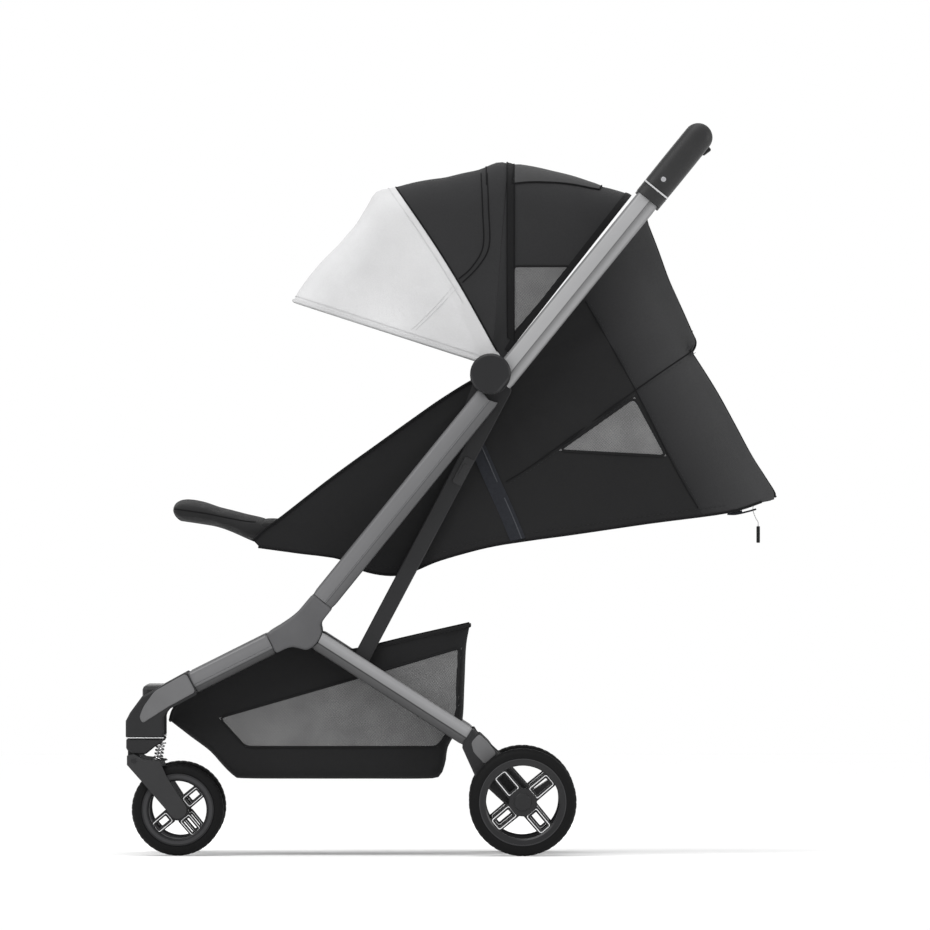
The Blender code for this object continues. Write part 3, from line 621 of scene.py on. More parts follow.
def cushioned(outline, low, high, edge, steps=4):
    """Like slab, with a rim rounded over several steps."""
    count = len(outline)
    rings = []
    area = sum(outline[k - 1][0] * outline[k][1] - outline[k][0] * outline[k - 1][1] for k in range(count))
    turn = 1.0 if area > 0 else -1.0
    normals = []
    for index in range(count):
        run = (Vector(outline[(index + 1) % count]) - Vector(outline[index - 1])).normalized()
        normals.append(Vector((-run.y, run.x)) * turn)
    for half in (0, 1):
        for step in range(steps + 1):
            angle = math.pi / 2 * step / steps
            angle = angle if half == 0 else math.pi / 2 - angle
            pull = edge * (1 - math.sin(angle))
            y = low + edge * (1 - math.cos(angle)) if half == 0 else high - edge * (1 - math.cos(angle))
            rings.append([(p[0] + n.x * pull, y, p[1] + n.y * pull) for p, n in zip(outline, normals)])
    points = [p for ring in rings for p in ring]
    last = len(rings) - 1
    faces = [tuple(range(count)), tuple(last * count + k for k in reversed(range(count)))]
    for ring in range(last):
        for index in range(count):
            following = (index + 1) % count
            faces.append((ring * count + index, (ring + 1) * count + index, (ring + 1) * count + following, ring * count + following))
    return points, faces


def turned(profile, centre, steps=64, wobble=None):
    """Points and faces of a closed (Y, radius) profile turned about a Y line."""
    points = []
    for step in range(steps):
        angle = math.tau * step / steps
        for index, (y, radius) in enumerate(profile):
            r = radius if wobble is None else wobble(step, index, radius)
            points.append((centre[0] + r * math.cos(angle), y, centre[1] + r * math.sin(angle)))
    size = len(profile)
    faces = []
    for step in range(steps):
        following = (step + 1) % steps
        for index in range(size):
            beside = (index + 1) % size
            faces.append((step * size + index, step * size + beside, following * size + beside, following * size + index))
    return points, faces


# ---------------------------------------------------------------- camera, light and floor


def make_camera():
    data = bpy.data.cameras.new("camera")
    data.sensor_width = 36.0
    data.lens = data.sensor_width * CAMERA_AWAY / VIEW_WIDE
    data.clip_start = 1.0
    data.clip_end = 200.0
    camera = bpy.data.objects.new("camera", data)
    bpy.context.scene.collection.objects.link(camera)
    camera.location = (0.0197, -CAMERA_AWAY, 0.5506)
    camera.rotation_euler = (math.pi / 2, 0.0, 0.0)
    bpy.context.scene.camera = camera


def area_light(name, place, target, size, power, colour=(1.0, 1.0, 1.0)):
    data = bpy.data.lights.new(name, "AREA")
    data.shape = "DISK"
    data.size = size
    data.energy = power
    data.color = colour
    light = bpy.data.objects.new(name, data)
    bpy.context.scene.collection.objects.link(light)
    light.location = place
    aim = Vector(target) - Vector(place)
    light.rotation_euler = aim.to_track_quat("-Z", "Y").to_euler()


def make_stage():
    world = bpy.data.worlds.new("studio")
    world.use_nodes = True
    tree = world.node_tree
    seen = tree.nodes.new("ShaderNodeLightPath")
    strength = tree.nodes.new("ShaderNodeMapRange")
    strength.inputs["To Min"].default_value = 0.68
    strength.inputs["To Max"].default_value = 1.0
    tree.links.new(seen.outputs["Is Camera Ray"], strength.inputs["Value"])
    tree.nodes["Background"].inputs["Color"].default_value = (1.0, 1.0, 1.0, 1.0)
    tree.links.new(strength.outputs["Result"], tree.nodes["Background"].inputs["Strength"])
    bpy.context.scene.world = world
    bpy.context.scene.view_settings.view_transform = "Standard"
    middle = (0.0, 0.0, 0.5)
    sun = bpy.data.lights.new("sky_sun", "SUN")
    sun.energy = 1.5
    sun.angle = math.radians(50)
    lamp = bpy.data.objects.new("sky_sun", sun)
    bpy.context.scene.collection.objects.link(lamp)
    lamp.rotation_euler = Vector((0.45, 0.55, -1.0)).to_track_quat("-Z", "Y").to_euler()
    area_light("key", (-1.6, -2.2, 2.6), middle, 1.6, 16.0)
    area_light("top", (0.3, 0.2, 3.0), middle, 2.2, 14.0)
    area_light("rear_rim", (2.4, -1.0, 1.2), middle, 1.2, 14.0)
    area_light("far_fill", (-0.6, 2.8, 1.6), middle, 2.0, 14.0)
    floor = Nodes("floor_finish")
    tone = floor.noise(1.5, 2.0)
    floor.link(floor.blend(tone, (0.95, 0.95, 0.95), (0.97, 0.97, 0.97)), floor.shader.inputs["Base Color"])
    floor.set(Roughness=0.85)
    reach = 12.0
    ground = mesh_piece(
        "floor",
        [(-reach, -reach, 0), (reach, -reach, 0), (reach, reach, 0), (-reach, reach, 0)],
        [(0, 1, 2, 3)],
        floor.material,
    )


# ---------------------------------------------------------------- mesh copies and sheet areas


def flatten(*made):
    """Gives each piece its own copy of its mesh."""
    for one in made:
        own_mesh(one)


def sheet_size(made, grid, **more):
    """Works out the area of a cloth sheet's grid, the flat size of the cut that it was made from, and keeps nothing of
    it.
    """
    array = np.array([[tuple(p) for p in row] for row in grid], float)
    a, b, c, d = array[:-1, :-1], array[1:, :-1], array[1:, 1:], array[:-1, 1:]
    area = np.linalg.norm(np.cross(b - a, c - a), axis=2).sum() / 2
    area += np.linalg.norm(np.cross(c - a, d - a), axis=2).sum() / 2


# ---------------------------------------------------------------- frame tubes

TUBE_PROFILE = (
    (0.0172, 0.000), (0.0172, 0.0088), (0.0158, 0.0118), (0.0130, 0.0134), (-0.0030, 0.0148),
    (-0.0037, 0.0141), (-0.0045, 0.0146), (-0.0128, 0.0122), (-0.0160, 0.0100), (-0.0172, 0.0070),
)


def tube(name, origin, angle, start, end, half, lit, parts, body, slot, nodes):
    """A tube of two-plane section. start and end give how far along it an edge at some offset begins and stops."""
    shapes = []
    for side, mid in parts:
        outline = []
        for across, out in TUBE_PROFILE:
            outline.append((across, out))
        for across, out in TUBE_PROFILE[::-1]:
            if out > 0:
                outline.append((across, -out))
        scale = half / TUBE_PROFILE[0][0]
        points = []
        ends = []
        for share in (0.0, 0.02, 0.5, 0.98, 1.0):
            for across, out in outline:
                across = across * scale
                pull = 0.94 if share in (0.0, 1.0) else 1.0
                low = start(across)
                high = end(across)
                x, z = along(origin, angle, low + (high - low) * share, across * lit * pull)
                points.append((x, side * (mid + out * pull), z))
        count = len(outline)
        faces = [tuple(range(count)), tuple(4 * count + k for k in range(count))]
        for ring in range(4):
            for index in range(count):
                beside = (index + 1) % count
                faces.append(
                    (ring * count + index, ring * count + beside, (ring + 1) * count + beside, (ring + 1) * count + index)
                )
        shapes.append((points, faces))
    made = joined(name, shapes, slot, body, 22.0)
    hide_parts(*nodes)
    return made


def disc(centre, radius, low, high, steps=48, edge=0.0008):
    """Points and faces of a round plate with softened rims."""
    outline = arc(centre, radius, 0, 360 * (steps - 1) / steps, steps)
    return slab(outline, low, high, edge)


HOUSING_COVER = (
    (-0.4395, 0.1950), (-0.4330, 0.2110), (-0.4180, 0.2318), (-0.3732, 0.2572), (-0.3596, 0.2310), (-0.3994, 0.2092),
    (-0.4345, 0.1865),
)
BRACKET_COVER = (
    (0.0282, 0.1600), (0.0397, 0.1722), (0.0535, 0.1590), (0.0640, 0.1434), (0.0476, 0.1290), (0.0318, 0.1454),
)


def knuckle_outline():
    """The casting where the lower tube, the front leg and the rear leg's pivot meet."""
    return [
        along(KNUCKLE, TUBE_ANGLE, 0.0507, TUBE_HALF),
        along(KNUCKLE, TUBE_ANGLE, 0.0507, -TUBE_HALF),
        along(KNUCKLE, TUBE_ANGLE, 0.0330, -TUBE_HALF),
        (-0.1843, 0.3265),
        *arc(KNUCKLE, 0.031, -6, -66, 7),
        (-0.2060, 0.2900), (-0.2140, 0.2925), (-0.2240, 0.2945), (-0.2340, 0.2915),
        along(KNUCKLE, LEG_ANGLE, 0.046, 0.016),
        along(KNUCKLE, LEG_ANGLE, 0.046, -0.016),
        along(KNUCKLE, LEG_ANGLE, 0.022, -0.0180),
        (-0.2275, 0.3345), (-0.2150, 0.3450),
    ]


def bracket_face(name, side):
    low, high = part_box("rear_bracket_" + name)
    outer = max(abs(low.y), abs(high.y))
    return sorted((side * (outer - 0.004), side * (outer + 0.0010)))


def handle_sleeve(name, side, kit):
    """The padded leather end of the handle: a round-edged sleeve with a domed top."""
    mid = (TUBE_IN + TUBE_OUT) / 2
    centre = -TUBE_HALF - 0.0003
    start, top, radius, thick = 0.3309, 0.443, 0.0204, 0.0184
    stations = [start, start + 0.0006, start + 0.0020, 0.3462, 0.3470, 0.3478, 0.3506, 0.3514, 0.3530]
    stations += [0.3530 + (top - 0.3530) * k / 14 for k in range(1, 15)]
    stations += [top + radius * math.sin(math.pi / 2 * k / 12) for k in range(1, 13)]
    rings = []
    around = 40
    for ahead in stations:
        if ahead > top:
            swell = math.sqrt(max(0.0, 1 - ((ahead - top) / radius) ** 2))
            deep = max(0.004, swell)
        elif ahead < start + 0.0003:
            swell = deep = 0.95
        elif 0.3475 < ahead < 0.3510:
            swell = deep = 0.955
        else:
            share = (ahead - 0.3530) / (top - 0.3530)
            swell = deep = 1.0 + 0.012 * math.sin(math.pi * max(0.0, min(1.0, share)))
        ring = []
        for k in range(around):
            angle = math.tau * k / around
            c, n = math.cos(angle), math.sin(angle)
            across = radius * max(swell, 0.02) * math.copysign(abs(c) ** 0.72, c)
            out = thick * (0.25 + 0.75 * deep) * math.copysign(abs(n) ** 0.72, n) if ahead > top else thick * deep * math.copysign(abs(n) ** 0.72, n)
            x, z = along(HUB, TUBE_ANGLE, ahead, centre + across)
            ring.append((x, side * (mid + out), z))
        rings.append(ring)
    points = [p for ring in rings for p in ring]
    last = len(rings) - 1
    faces = [tuple(range(around)), tuple(last * around + k for k in range(around))]
    for i in range(last):
        for k in range(around):
            n = (k + 1) % around
            faces.append((i * around + k, i * around + n, (i + 1) * around + n, (i + 1) * around + k))
    return joined("handle_sleeve_" + name, [(points, faces)], kit["leather"], "handle_frame", 45.0)


def make_frame(kit):
    gap = 0.0003
    tube_mid = (TUBE_IN + TUBE_OUT) / 2
    half = TUBE_HALF
    centre = along(HUB, TUBE_ANGLE, 0, -half - gap)
    hub_ahead = (HUB - KNUCKLE).dot(TUBE_DIR)
    upper_long = 0.3306
    for name, side in SIDES.items():
        place = [(side, tube_mid)]
        upper = tube(
            "upper_tube_shape_" + name, centre, TUBE_ANGLE, lambda a: 0.001, lambda a: upper_long, half, 1,
            place, "handle_frame", kit["tube"], ["upper_tube_" + name],
        )
        boss = joined(
            "fold_boss_" + name,
            [disc(HUB, 0.0286, *sorted((side * 0.1684, side * 0.1976)))],
            kit["plastic"], "handle_frame",
        )
        lower = tube(
            "lower_tube_shape_" + name, KNUCKLE, TUBE_ANGLE, lambda a: 0.0510,
            lambda a: hub_ahead - math.sqrt(0.0303**2 - min(abs(a), 0.0170) ** 2), half, 1,
            place, "chassis", kit["tube_low"], ["lower_tube_" + name],
        )
        leg = tube(
            "front_leg_shape_" + name, KNUCKLE, LEG_ANGLE, lambda a: 0.0463, lambda a: 0.169, 0.0159, -1,
            place, "chassis", kit["leg"], ["front_leg_" + name],
        )
        rear = tube(
            "rear_leg_shape_" + name, KNUCKLE, REAR_ANGLE,
            lambda a: math.sqrt(0.0322**2 - a * a), lambda a: 0.2800, 0.0139, 1,
            place, "rear_legs", kit["rear_leg"], [],
        )
        plate = [
            along(KNUCKLE, REAR_ANGLE, 0.075, 0.0105),
            *arc(KNUCKLE, 0.014, math.degrees(REAR_ANGLE) + 90, math.degrees(REAR_ANGLE) + 270, 11),
            along(KNUCKLE, REAR_ANGLE, 0.075, -0.0105),
        ]
        ear = joined(
            "rear_leg_ear_" + name, [slab(plate, *sorted((side * 0.1638, side * 0.1676)))], kit["tube_dark"], "rear_legs"
        )
        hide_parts("rear_leg_" + name)

        knuckle = joined(
            "knuckle_shape_" + name,
            [cushioned(rounded(knuckle_outline(), 0.006, 4), *sorted((side * TUBE_IN, side * (TUBE_OUT + 0.0002))), 0.0045)],
            kit["casting"], "chassis",
        )
        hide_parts("knuckle_" + name)
        cover = joined(
            "housing_cover_" + name,
            [cushioned(rounded(HOUSING_COVER, 0.005, 3), *sorted((side * 0.1950, side * (TUBE_OUT + 0.0042))), 0.0018, 3)],
            kit["cover"], "chassis",
        )
        plate = joined(
            "rear_bracket_cover_" + name,
            [cushioned(rounded(BRACKET_COVER, 0.004, 3), *bracket_face(name, side), 0.0014, 3)],
            kit["cover"], "rear_legs",
        )
        grip = handle_sleeve(name, side, kit)
        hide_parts("handle_arm_" + name)
        ring_at = 0.3488
        ring_half = 0.0208
        across_mid = -half - gap
        ring = [
            along(HUB, TUBE_ANGLE, ring_at - 0.0013, across_mid + ring_half),
            along(HUB, TUBE_ANGLE, ring_at + 0.0013, across_mid + ring_half),
            along(HUB, TUBE_ANGLE, ring_at + 0.0013, across_mid - ring_half),
            along(HUB, TUBE_ANGLE, ring_at - 0.0013, across_mid - ring_half),
        ]
        chrome = joined(
            "handle_ring_" + name, [slab(ring, *sorted((side * 0.1642, side * 0.2018)), 0.0004)], kit["chrome"], "handle_frame"
        )
        rivet_at = along(HUB, TUBE_ANGLE, 0.3663, across_mid + 0.0008)
        rivet = joined(
            "handle_rivet_" + name,
            [disc(rivet_at, 0.0036, *sorted((side * 0.2012, side * 0.2021)), 24, 0.0004)],
            kit["steel"], "handle_frame",
        )


# ---------------------------------------------------------------- wheels


def boxed(axle, angle, near, far, near_half, far_half, corner):
    """A rounded outline of a tapered bar that runs out from the axle."""
    outline = [
        along(axle, angle, near, near_half),
        along(axle, angle, far, far_half),
        along(axle, angle, far, -far_half),
        along(axle, angle, near, -near_half),
    ]
    return rounded(outline, corner, 5)


def holed(outer, inner, low, high, edge=0.0006):
    """Points and faces of a plate with a hole, from two outlines with the same number of points."""
    count = len(outer)
    middle = Vector((sum(p[0] for p in inner) / count, sum(p[1] for p in inner) / count))

    def toward(p, amount):
        run = middle - Vector(p)
        return Vector(p) + run.normalized() * amount

    rings = []
    for outline, signs in ((outer, 1), (inner, -1)):
        pulled = [toward(p, edge * signs) for p in outline]
        group = [
            [(p[0], low, p[1]) for p in pulled],
            [(p[0], low + edge, p[1]) for p in outline],
            [(p[0], high - edge, p[1]) for p in outline],
            [(p[0], high, p[1]) for p in pulled],
        ]
        rings += group if signs == 1 else group[::-1]
    points = [p for ring in rings for p in ring]
    faces = []
    for ring in range(8):
        following = (ring + 1) % 8
        for index in range(count):
            beside = (index + 1) % count
            faces.append(
                (ring * count + index, ring * count + beside, following * count + beside, following * count + index)
            )
    return points, faces


def make_wheel(which, name, side, body, kit):
    joint = JOINTS[f"{which}_wheel_spin_{name}"]
    axle = (joint["pos_m"][0], joint["pos_m"][2])
    low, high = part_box(f"{which}_tyre_{name}")
    mid = (low.y + high.y) / 2
    half = (high.y - low.y) / 2
    radius = (high.x - low.x) / 2
    rear = which == "rear"
    ring = 0.062 if rear else 0.052
    opening = 0.0515 if rear else 0.0405
    line = 0.0608 if rear else 0.0465
    line_half = 0.0007 if rear else 0.0022

    tread = [
        (-half, ring), (-half, radius - 0.0085), (-half * 0.93, radius - 0.0055), (-half * 0.78, radius - 0.0028),
        (-half * 0.55, radius - 0.0010), (-half * 0.2, radius - 0.0001), (half * 0.2, radius - 0.0001),
        (half * 0.55, radius - 0.0010), (half * 0.78, radius - 0.0028), (half * 0.93, radius - 0.0055),
        (half, radius - 0.0085), (half, ring), (half * 0.6, ring - 0.0008), (-half * 0.6, ring - 0.0008),
    ]
    cut_points = {3: 0.0012, 4: 0.0009, 5: 0.0004, 6: 0.0004, 7: 0.0009, 8: 0.0012}

    def blocks(step, index, r):
        return r - cut_points.get(index, 0.0) * (step % 4 == 0)

    tyre = joined(
        f"{which}_tyre_shape_{name}",
        [turned([(mid + y, r) for y, r in tread], axle, 176, blocks)],
        kit["rubber"], body, 40.0,
    )
    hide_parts(f"{which}_tyre_{name}")

    rim_half = half - 0.0015
    band = [
        (-rim_half, ring - 0.0002), (-rim_half - 0.0006, ring - 0.0012), (-rim_half - 0.0002, opening + 0.0022),
        (-rim_half + 0.0014, opening), (rim_half - 0.0014, opening), (rim_half + 0.0002, opening + 0.0022),
        (rim_half + 0.0006, ring - 0.0012), (rim_half, ring - 0.0002),
    ]
    arm_half = rim_half * 0.62
    wide = 0.0118 if rear else 0.0102
    shapes = [turned([(mid + y, r) for y, r in band], axle, 96)]
    frames = []
    windows = []
    frame_at = 0.0344 if rear else 0.0280
    frame_long = 0.0166 if rear else 0.0136
    frame_wide = 0.0098 if rear else 0.0084
    frame_thick = 0.0020 if rear else 0.0018
    hub_radius = 0.0215 if rear else 0.0165
    for quarter in range(4):
        angle = math.radians(40 + 90 * quarter)
        outer = boxed(axle, angle, 0.012, opening + 0.004, wide, wide * 0.94, 0.003)
        inner = boxed(
            axle, angle, frame_at - frame_long + frame_thick, frame_at + frame_long - frame_thick,
            frame_wide - frame_thick, frame_wide * 0.97 - frame_thick, 0.0022,
        )
        slot_in = boxed(
            axle, angle, frame_at - frame_long + frame_thick * 2.3, frame_at + frame_long - frame_thick * 2.1,
            frame_wide - frame_thick * 2.1, frame_wide * 0.97 - frame_thick * 2.1, 0.0014,
        )
        shapes.append(holed(outer, slot_in, mid - arm_half, mid + arm_half))
        chrome_out = boxed(
            axle, angle, frame_at - frame_long, frame_at + frame_long, frame_wide, frame_wide * 0.97, 0.0040
        )
        for face in (-1, 1):
            low_y, high_y = sorted((mid + face * (arm_half - 0.001), mid + face * (arm_half + 0.0024)))
            frames.append(holed(chrome_out, inner, low_y, high_y, 0.0007))
    corners = []
    for k in range(8):
        angle = 40 + 22.5 + 45 * k
        corners.append(arc(axle, hub_radius, angle, angle, 2)[0])
    plate = rounded(corners, 0.003, 3)
    shapes.append(slab(plate, mid - rim_half * 0.86, mid + rim_half * 0.86, 0.0012))
    cap = [slab(rounded(corners_scaled(corners, axle, 0.62), 0.002, 3), mid - rim_half - 0.0008, mid + rim_half + 0.0008, 0.0012)]
    rim = joined(f"{which}_rim_shape_{name}", shapes, kit["plastic_gloss"], body)
    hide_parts(f"{which}_rim_{name}")
    hub = joined(f"{which}_hub_cap_{name}", cap, kit["plastic"], body)
    trim = joined(f"{which}_rim_frames_{name}", frames, kit["chrome"], body)
    lines = []
    for face in (-1, 1):
        base = mid + face * (rim_half + 0.0002)
        top = mid + face * (rim_half + 0.0009)
        lines.append(turned([(base, line - line_half), (top, line - line_half), (top, line + line_half), (base, line + line_half)], axle, 96))
    stripe = joined(f"{which}_rim_line_{name}", lines, kit["ring"], body)


def corners_scaled(corners, centre, factor):
    return [(centre[0] + (x - centre[0]) * factor, centre[1] + (z - centre[1]) * factor) for x, z in corners]


def make_front_gear(name, side, kit):
    pin = joint_xz("suspension_" + name)
    low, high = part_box("fork_" + name)
    mid = (low.y + high.y) / 2
    body = "front_fork_" + name
    foot = Vector((-0.4148, 0, 0.1345))
    head = Vector((-0.4108, 0, 0.1555))
    run = (head - foot).normalized()
    aside = run.cross(Vector((0, 1, 0))).normalized()
    turns, radius = 4.5, 0.0042
    coil = []
    steps = 96
    for step in range(steps + 1):
        share = step / steps
        angle = math.tau * turns * share
        centre = foot.lerp(head, share)
        coil.append(centre + Vector((0, mid, 0)) + aside * (radius * math.cos(angle)) + Vector((0, radius * math.sin(angle), 0)))
    spring = joined("coil_spring_" + name, [sweep(coil, 0.0011, 8)], kit["chrome"], body)
    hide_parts("fork_spring_" + name)
    bolts = []
    for face in (-1, 1):
        base = mid + face * 0.0235
        bolts.append(disc(pin, 0.0038, *sorted((base, mid + face * 0.0249)), 24, 0.0004))
    bolt = joined("fork_bolt_" + name, bolts, kit["plastic_gloss"], body)
    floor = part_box("front_housing_" + name)[0]
    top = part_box("front_housing_" + name)[1]
    line = [(floor.x - 0.0003, floor.z - 0.0002), (-0.4047, floor.z - 0.0002), (-0.4047, floor.z + 0.0012), (floor.x - 0.0003, floor.z + 0.0012)]
    rim_line = joined(
        "housing_line_" + name, [slab(line, floor.y - 0.0003, top.y + 0.0003, 0.0003)], kit["chrome"], "chassis"
    )


# ---------------------------------------------------------------- the cloth body behind and beside the seat

BACK_UPPER = ((0.2700, 0.9120), (0.2770, 0.8920), (0.2920, 0.8530), (0.3070, 0.8115), (0.3270, 0.7670), (0.3420, 0.7330), (0.3452, 0.7260), (0.3445, 0.7180), (0.3400, 0.7100))
BACK_LOWER = (
    (0.3330, 0.7200), (0.3395, 0.7095), (0.3580, 0.6810), (0.3770, 0.6500), (0.4000, 0.6080), (0.4230, 0.5650),
    (0.4420, 0.5350), (0.4560, 0.5130), (0.4574, 0.5060), (0.4530, 0.5012), (0.4440, 0.4990), (0.4330, 0.4972),
)
HOOD_BOTTOM = (
    (-0.2790, 0.4440), (-0.2720, 0.4340), (-0.2150, 0.4262), (-0.1560, 0.4180), (-0.1230, 0.4010), (-0.0850, 0.3945),
    (-0.0550, 0.4000), (-0.0155, 0.4160), (0.0500, 0.4340), (0.1100, 0.4440), (0.1730, 0.4526), (0.2800, 0.4682),
    (0.3900, 0.4830), (0.4380, 0.4975), (0.4560, 0.5020),
)
HOOD_FRONT = (
    (-0.2790, 0.4440), (-0.2620, 0.4600), (-0.2370, 0.4780), (-0.1650, 0.5340), (-0.0930, 0.5860), (-0.0540, 0.6140),
    (-0.0140, 0.6420), (0.0280, 0.6680), (0.0420, 0.6720),
)
WINDOW_2 = ((0.1520, 0.5710), (0.2590, 0.6465), (0.3040, 0.5630))
SEAM_1 = ((0.1896, 0.7818), (0.2594, 0.6578), (0.3144, 0.5492), (0.3483, 0.4900))
SEAM_2 = ((0.3426, 0.7128), (0.2665, 0.6606), (0.1255, 0.5577), (0.0776, 0.5266))


BACK_ROUND = 0.075
BACK_TURN = 0.020


class Wall:
    """One cloth side of the body, as a grid that seams and patches can be laid on."""

    def __init__(self, side):
        self.side = side
        back = [*BACK_LOWER[1:8][::-1], (0.3400, 0.7128), (0.3446, 0.7190), *BACK_UPPER[:7][::-1]]
        top = [
            (0.0420, 0.6720), (0.0520, 0.6660), (0.0660, 0.6640),
            *[along(HUB, TUBE_ANGLE, ahead, -0.016) for ahead in (0.020, 0.08, 0.16, 0.24, 0.300, 0.322)],
        ]
        bottom = [*HOOD_BOTTOM[:-1], (0.4560, 0.5020)]
        right = [(0.4560, 0.5020), *[p for p in back if p[1] > 0.506]]
        right[-1] = top[-1]
        self.flat = coons(bottom, top, list(HOOD_FRONT), right, 84, 56, 1.7)
        edge = even_line(smooth_line([*BACK_LOWER[:9], (0.4560, 0.5020)], 6), 120)
        edge += even_line(smooth_line(BACK_UPPER, 6), 80)
        self.edge = np.array([tuple(p) for p in edge])
        half = CLOTH_HALF - 0.0006
        self.grid = []
        for i, row in enumerate(self.flat):
            line = []
            for j, (x, z) in enumerate(row):
                line.append((x, side * (half - self.sink(x, z, i / 83, j / 55)), z))
            self.grid.append(line)
        self.points = np.array(self.grid).reshape(-1, 3)

    def sink(self, x, z, u, v):
        """How far the cloth stands in from the outermost plane."""
        depth = 0.0042 * (math.sin(math.pi * u) * math.sin(math.pi * v)) ** 0.7
        ripple = noise.noise(Vector((x * 9, z * 7, 1.7))) * 0.0016 + noise.noise(Vector((x * 24, z * 20, 5.1))) * 0.0006
        pull = (HUB - Vector((x, z))).length
        angle = math.atan2(z - HUB.y, x - HUB.x)
        folds = 0.0010 * math.sin(angle * 17.0) * math.exp(-((pull - 0.16) ** 2) / 0.016)
        depth += ripple * min(1.0, 4 * v, 4 * (1 - v)) + folds * min(1.0, 5 * v)
        near = math.sqrt(((self.edge[:, 0] - x) ** 2 + (self.edge[:, 1] - z) ** 2).min())
        share = max(0.0, 1 - near / BACK_ROUND)
        round_off = BACK_TURN * (1 - (1 - min(1.0, share) ** 2.2) ** 0.55)
        depth *= 1 - share
        return max(0.0, depth) + round_off

    def y(self, x, z):
        near = np.argsort((self.points[:, 0] - x) ** 2 + (self.points[:, 2] - z) ** 2)[:4]
        away = np.sqrt((self.points[near, 0] - x) ** 2 + (self.points[near, 2] - z) ** 2) + 1e-5
        return float((self.points[near, 1] / away).sum() / (1 / away).sum())

    def laid(self, line, out=0.0006, steps=5):
        """A line of (X, Z) points, smoothed and laid on the cloth."""
        curve = smooth_line(line, steps)
        return [Vector((p[0], self.y(p[0], p[1]) + self.side * out, p[1])) for p in curve]


def back_panel(path, half, crown, count, columns=45):
    """Rows of cloth along an (X, Z) path, between the two sides' rounded corners."""
    line = even_line(smooth_line(path, 6), count)
    rows = []
    for index, point in enumerate(line):
        before = line[max(index - 1, 0)]
        after = line[min(index + 1, count - 1)]
        run = (after - before).normalized()
        inward = Vector((run.y, -run.x))
        row = []
        for k in range(columns):
            y = half * (2 * k / (columns - 1) - 1)
            wave = noise.noise(Vector((y * 16, index * 0.11, 8.2))) * 0.0010
            lift = -crown * (1 - (y / half) ** 2) + wave * (1 - (y / half) ** 4)
            row.append((point.x + inward.x * lift, y, point.y + inward.y * lift))
        rows.append(row)
    return rows


def facing(grid, direction):
    """1 or -1: which way a grid's normals have to be taken to point out."""
    _, normal = grid_normals(grid)
    middle = normal[len(grid) // 2, len(grid[0]) // 2]
    return 1.0 if float(np.dot(middle, direction)) > 0 else -1.0


def triangle_patch(name, corners, surface, side, material, body, out):
    """A thin panel between three corners, on a surface y(x, z)."""
    a, b, c = [Vector(p) for p in corners]
    points = []
    index = {}
    rows = 18
    for i in range(rows + 1):
        for j in range(rows + 1 - i):
            p = a + (b - a) * (i / rows) + (c - a) * (j / rows)
            index[i, j] = len(points)
            points.append((p.x, surface(p.x, p.y) + side * out, p.y))
    count = len(points)
    faces = []
    for i in range(rows):
        for j in range(rows - i):
            faces.append((index[i, j], index[i + 1, j], index[i, j + 1]))
            if i + j < rows - 1:
                faces.append((index[i + 1, j], index[i + 1, j + 1], index[i, j + 1]))
    back = [(x, y - side * 0.0005, z) for x, y, z in points]
    rim = [index[i, 0] for i in range(rows + 1)] + [index[rows - j, j] for j in range(1, rows + 1)]
    rim += [index[0, rows - j] for j in range(1, rows)]
    closed = faces + [tuple(count + k for k in face[::-1]) for face in faces]
    for k, first in enumerate(rim):
        second = rim[(k + 1) % len(rim)]
        closed.append((first, second, count + second, count + first))
    return mesh_piece(name, points + back, closed, material, body)


def stitches(line, out, length=0.0042, gap=0.0024, radius=0.00035):
    """Short threads along a line."""
    total = sum((b - a).length for a, b in zip(line, line[1:]))
    count = max(2, int(total / (length + gap)))
    fine = even_line(line, count * 4 + 1)
    shapes = []
    for k in range(count):
        run = [Vector(p) + out for p in fine[k * 4 : k * 4 + 3]]
        shapes.append(sweep(run, radius, 4))
    return shapes


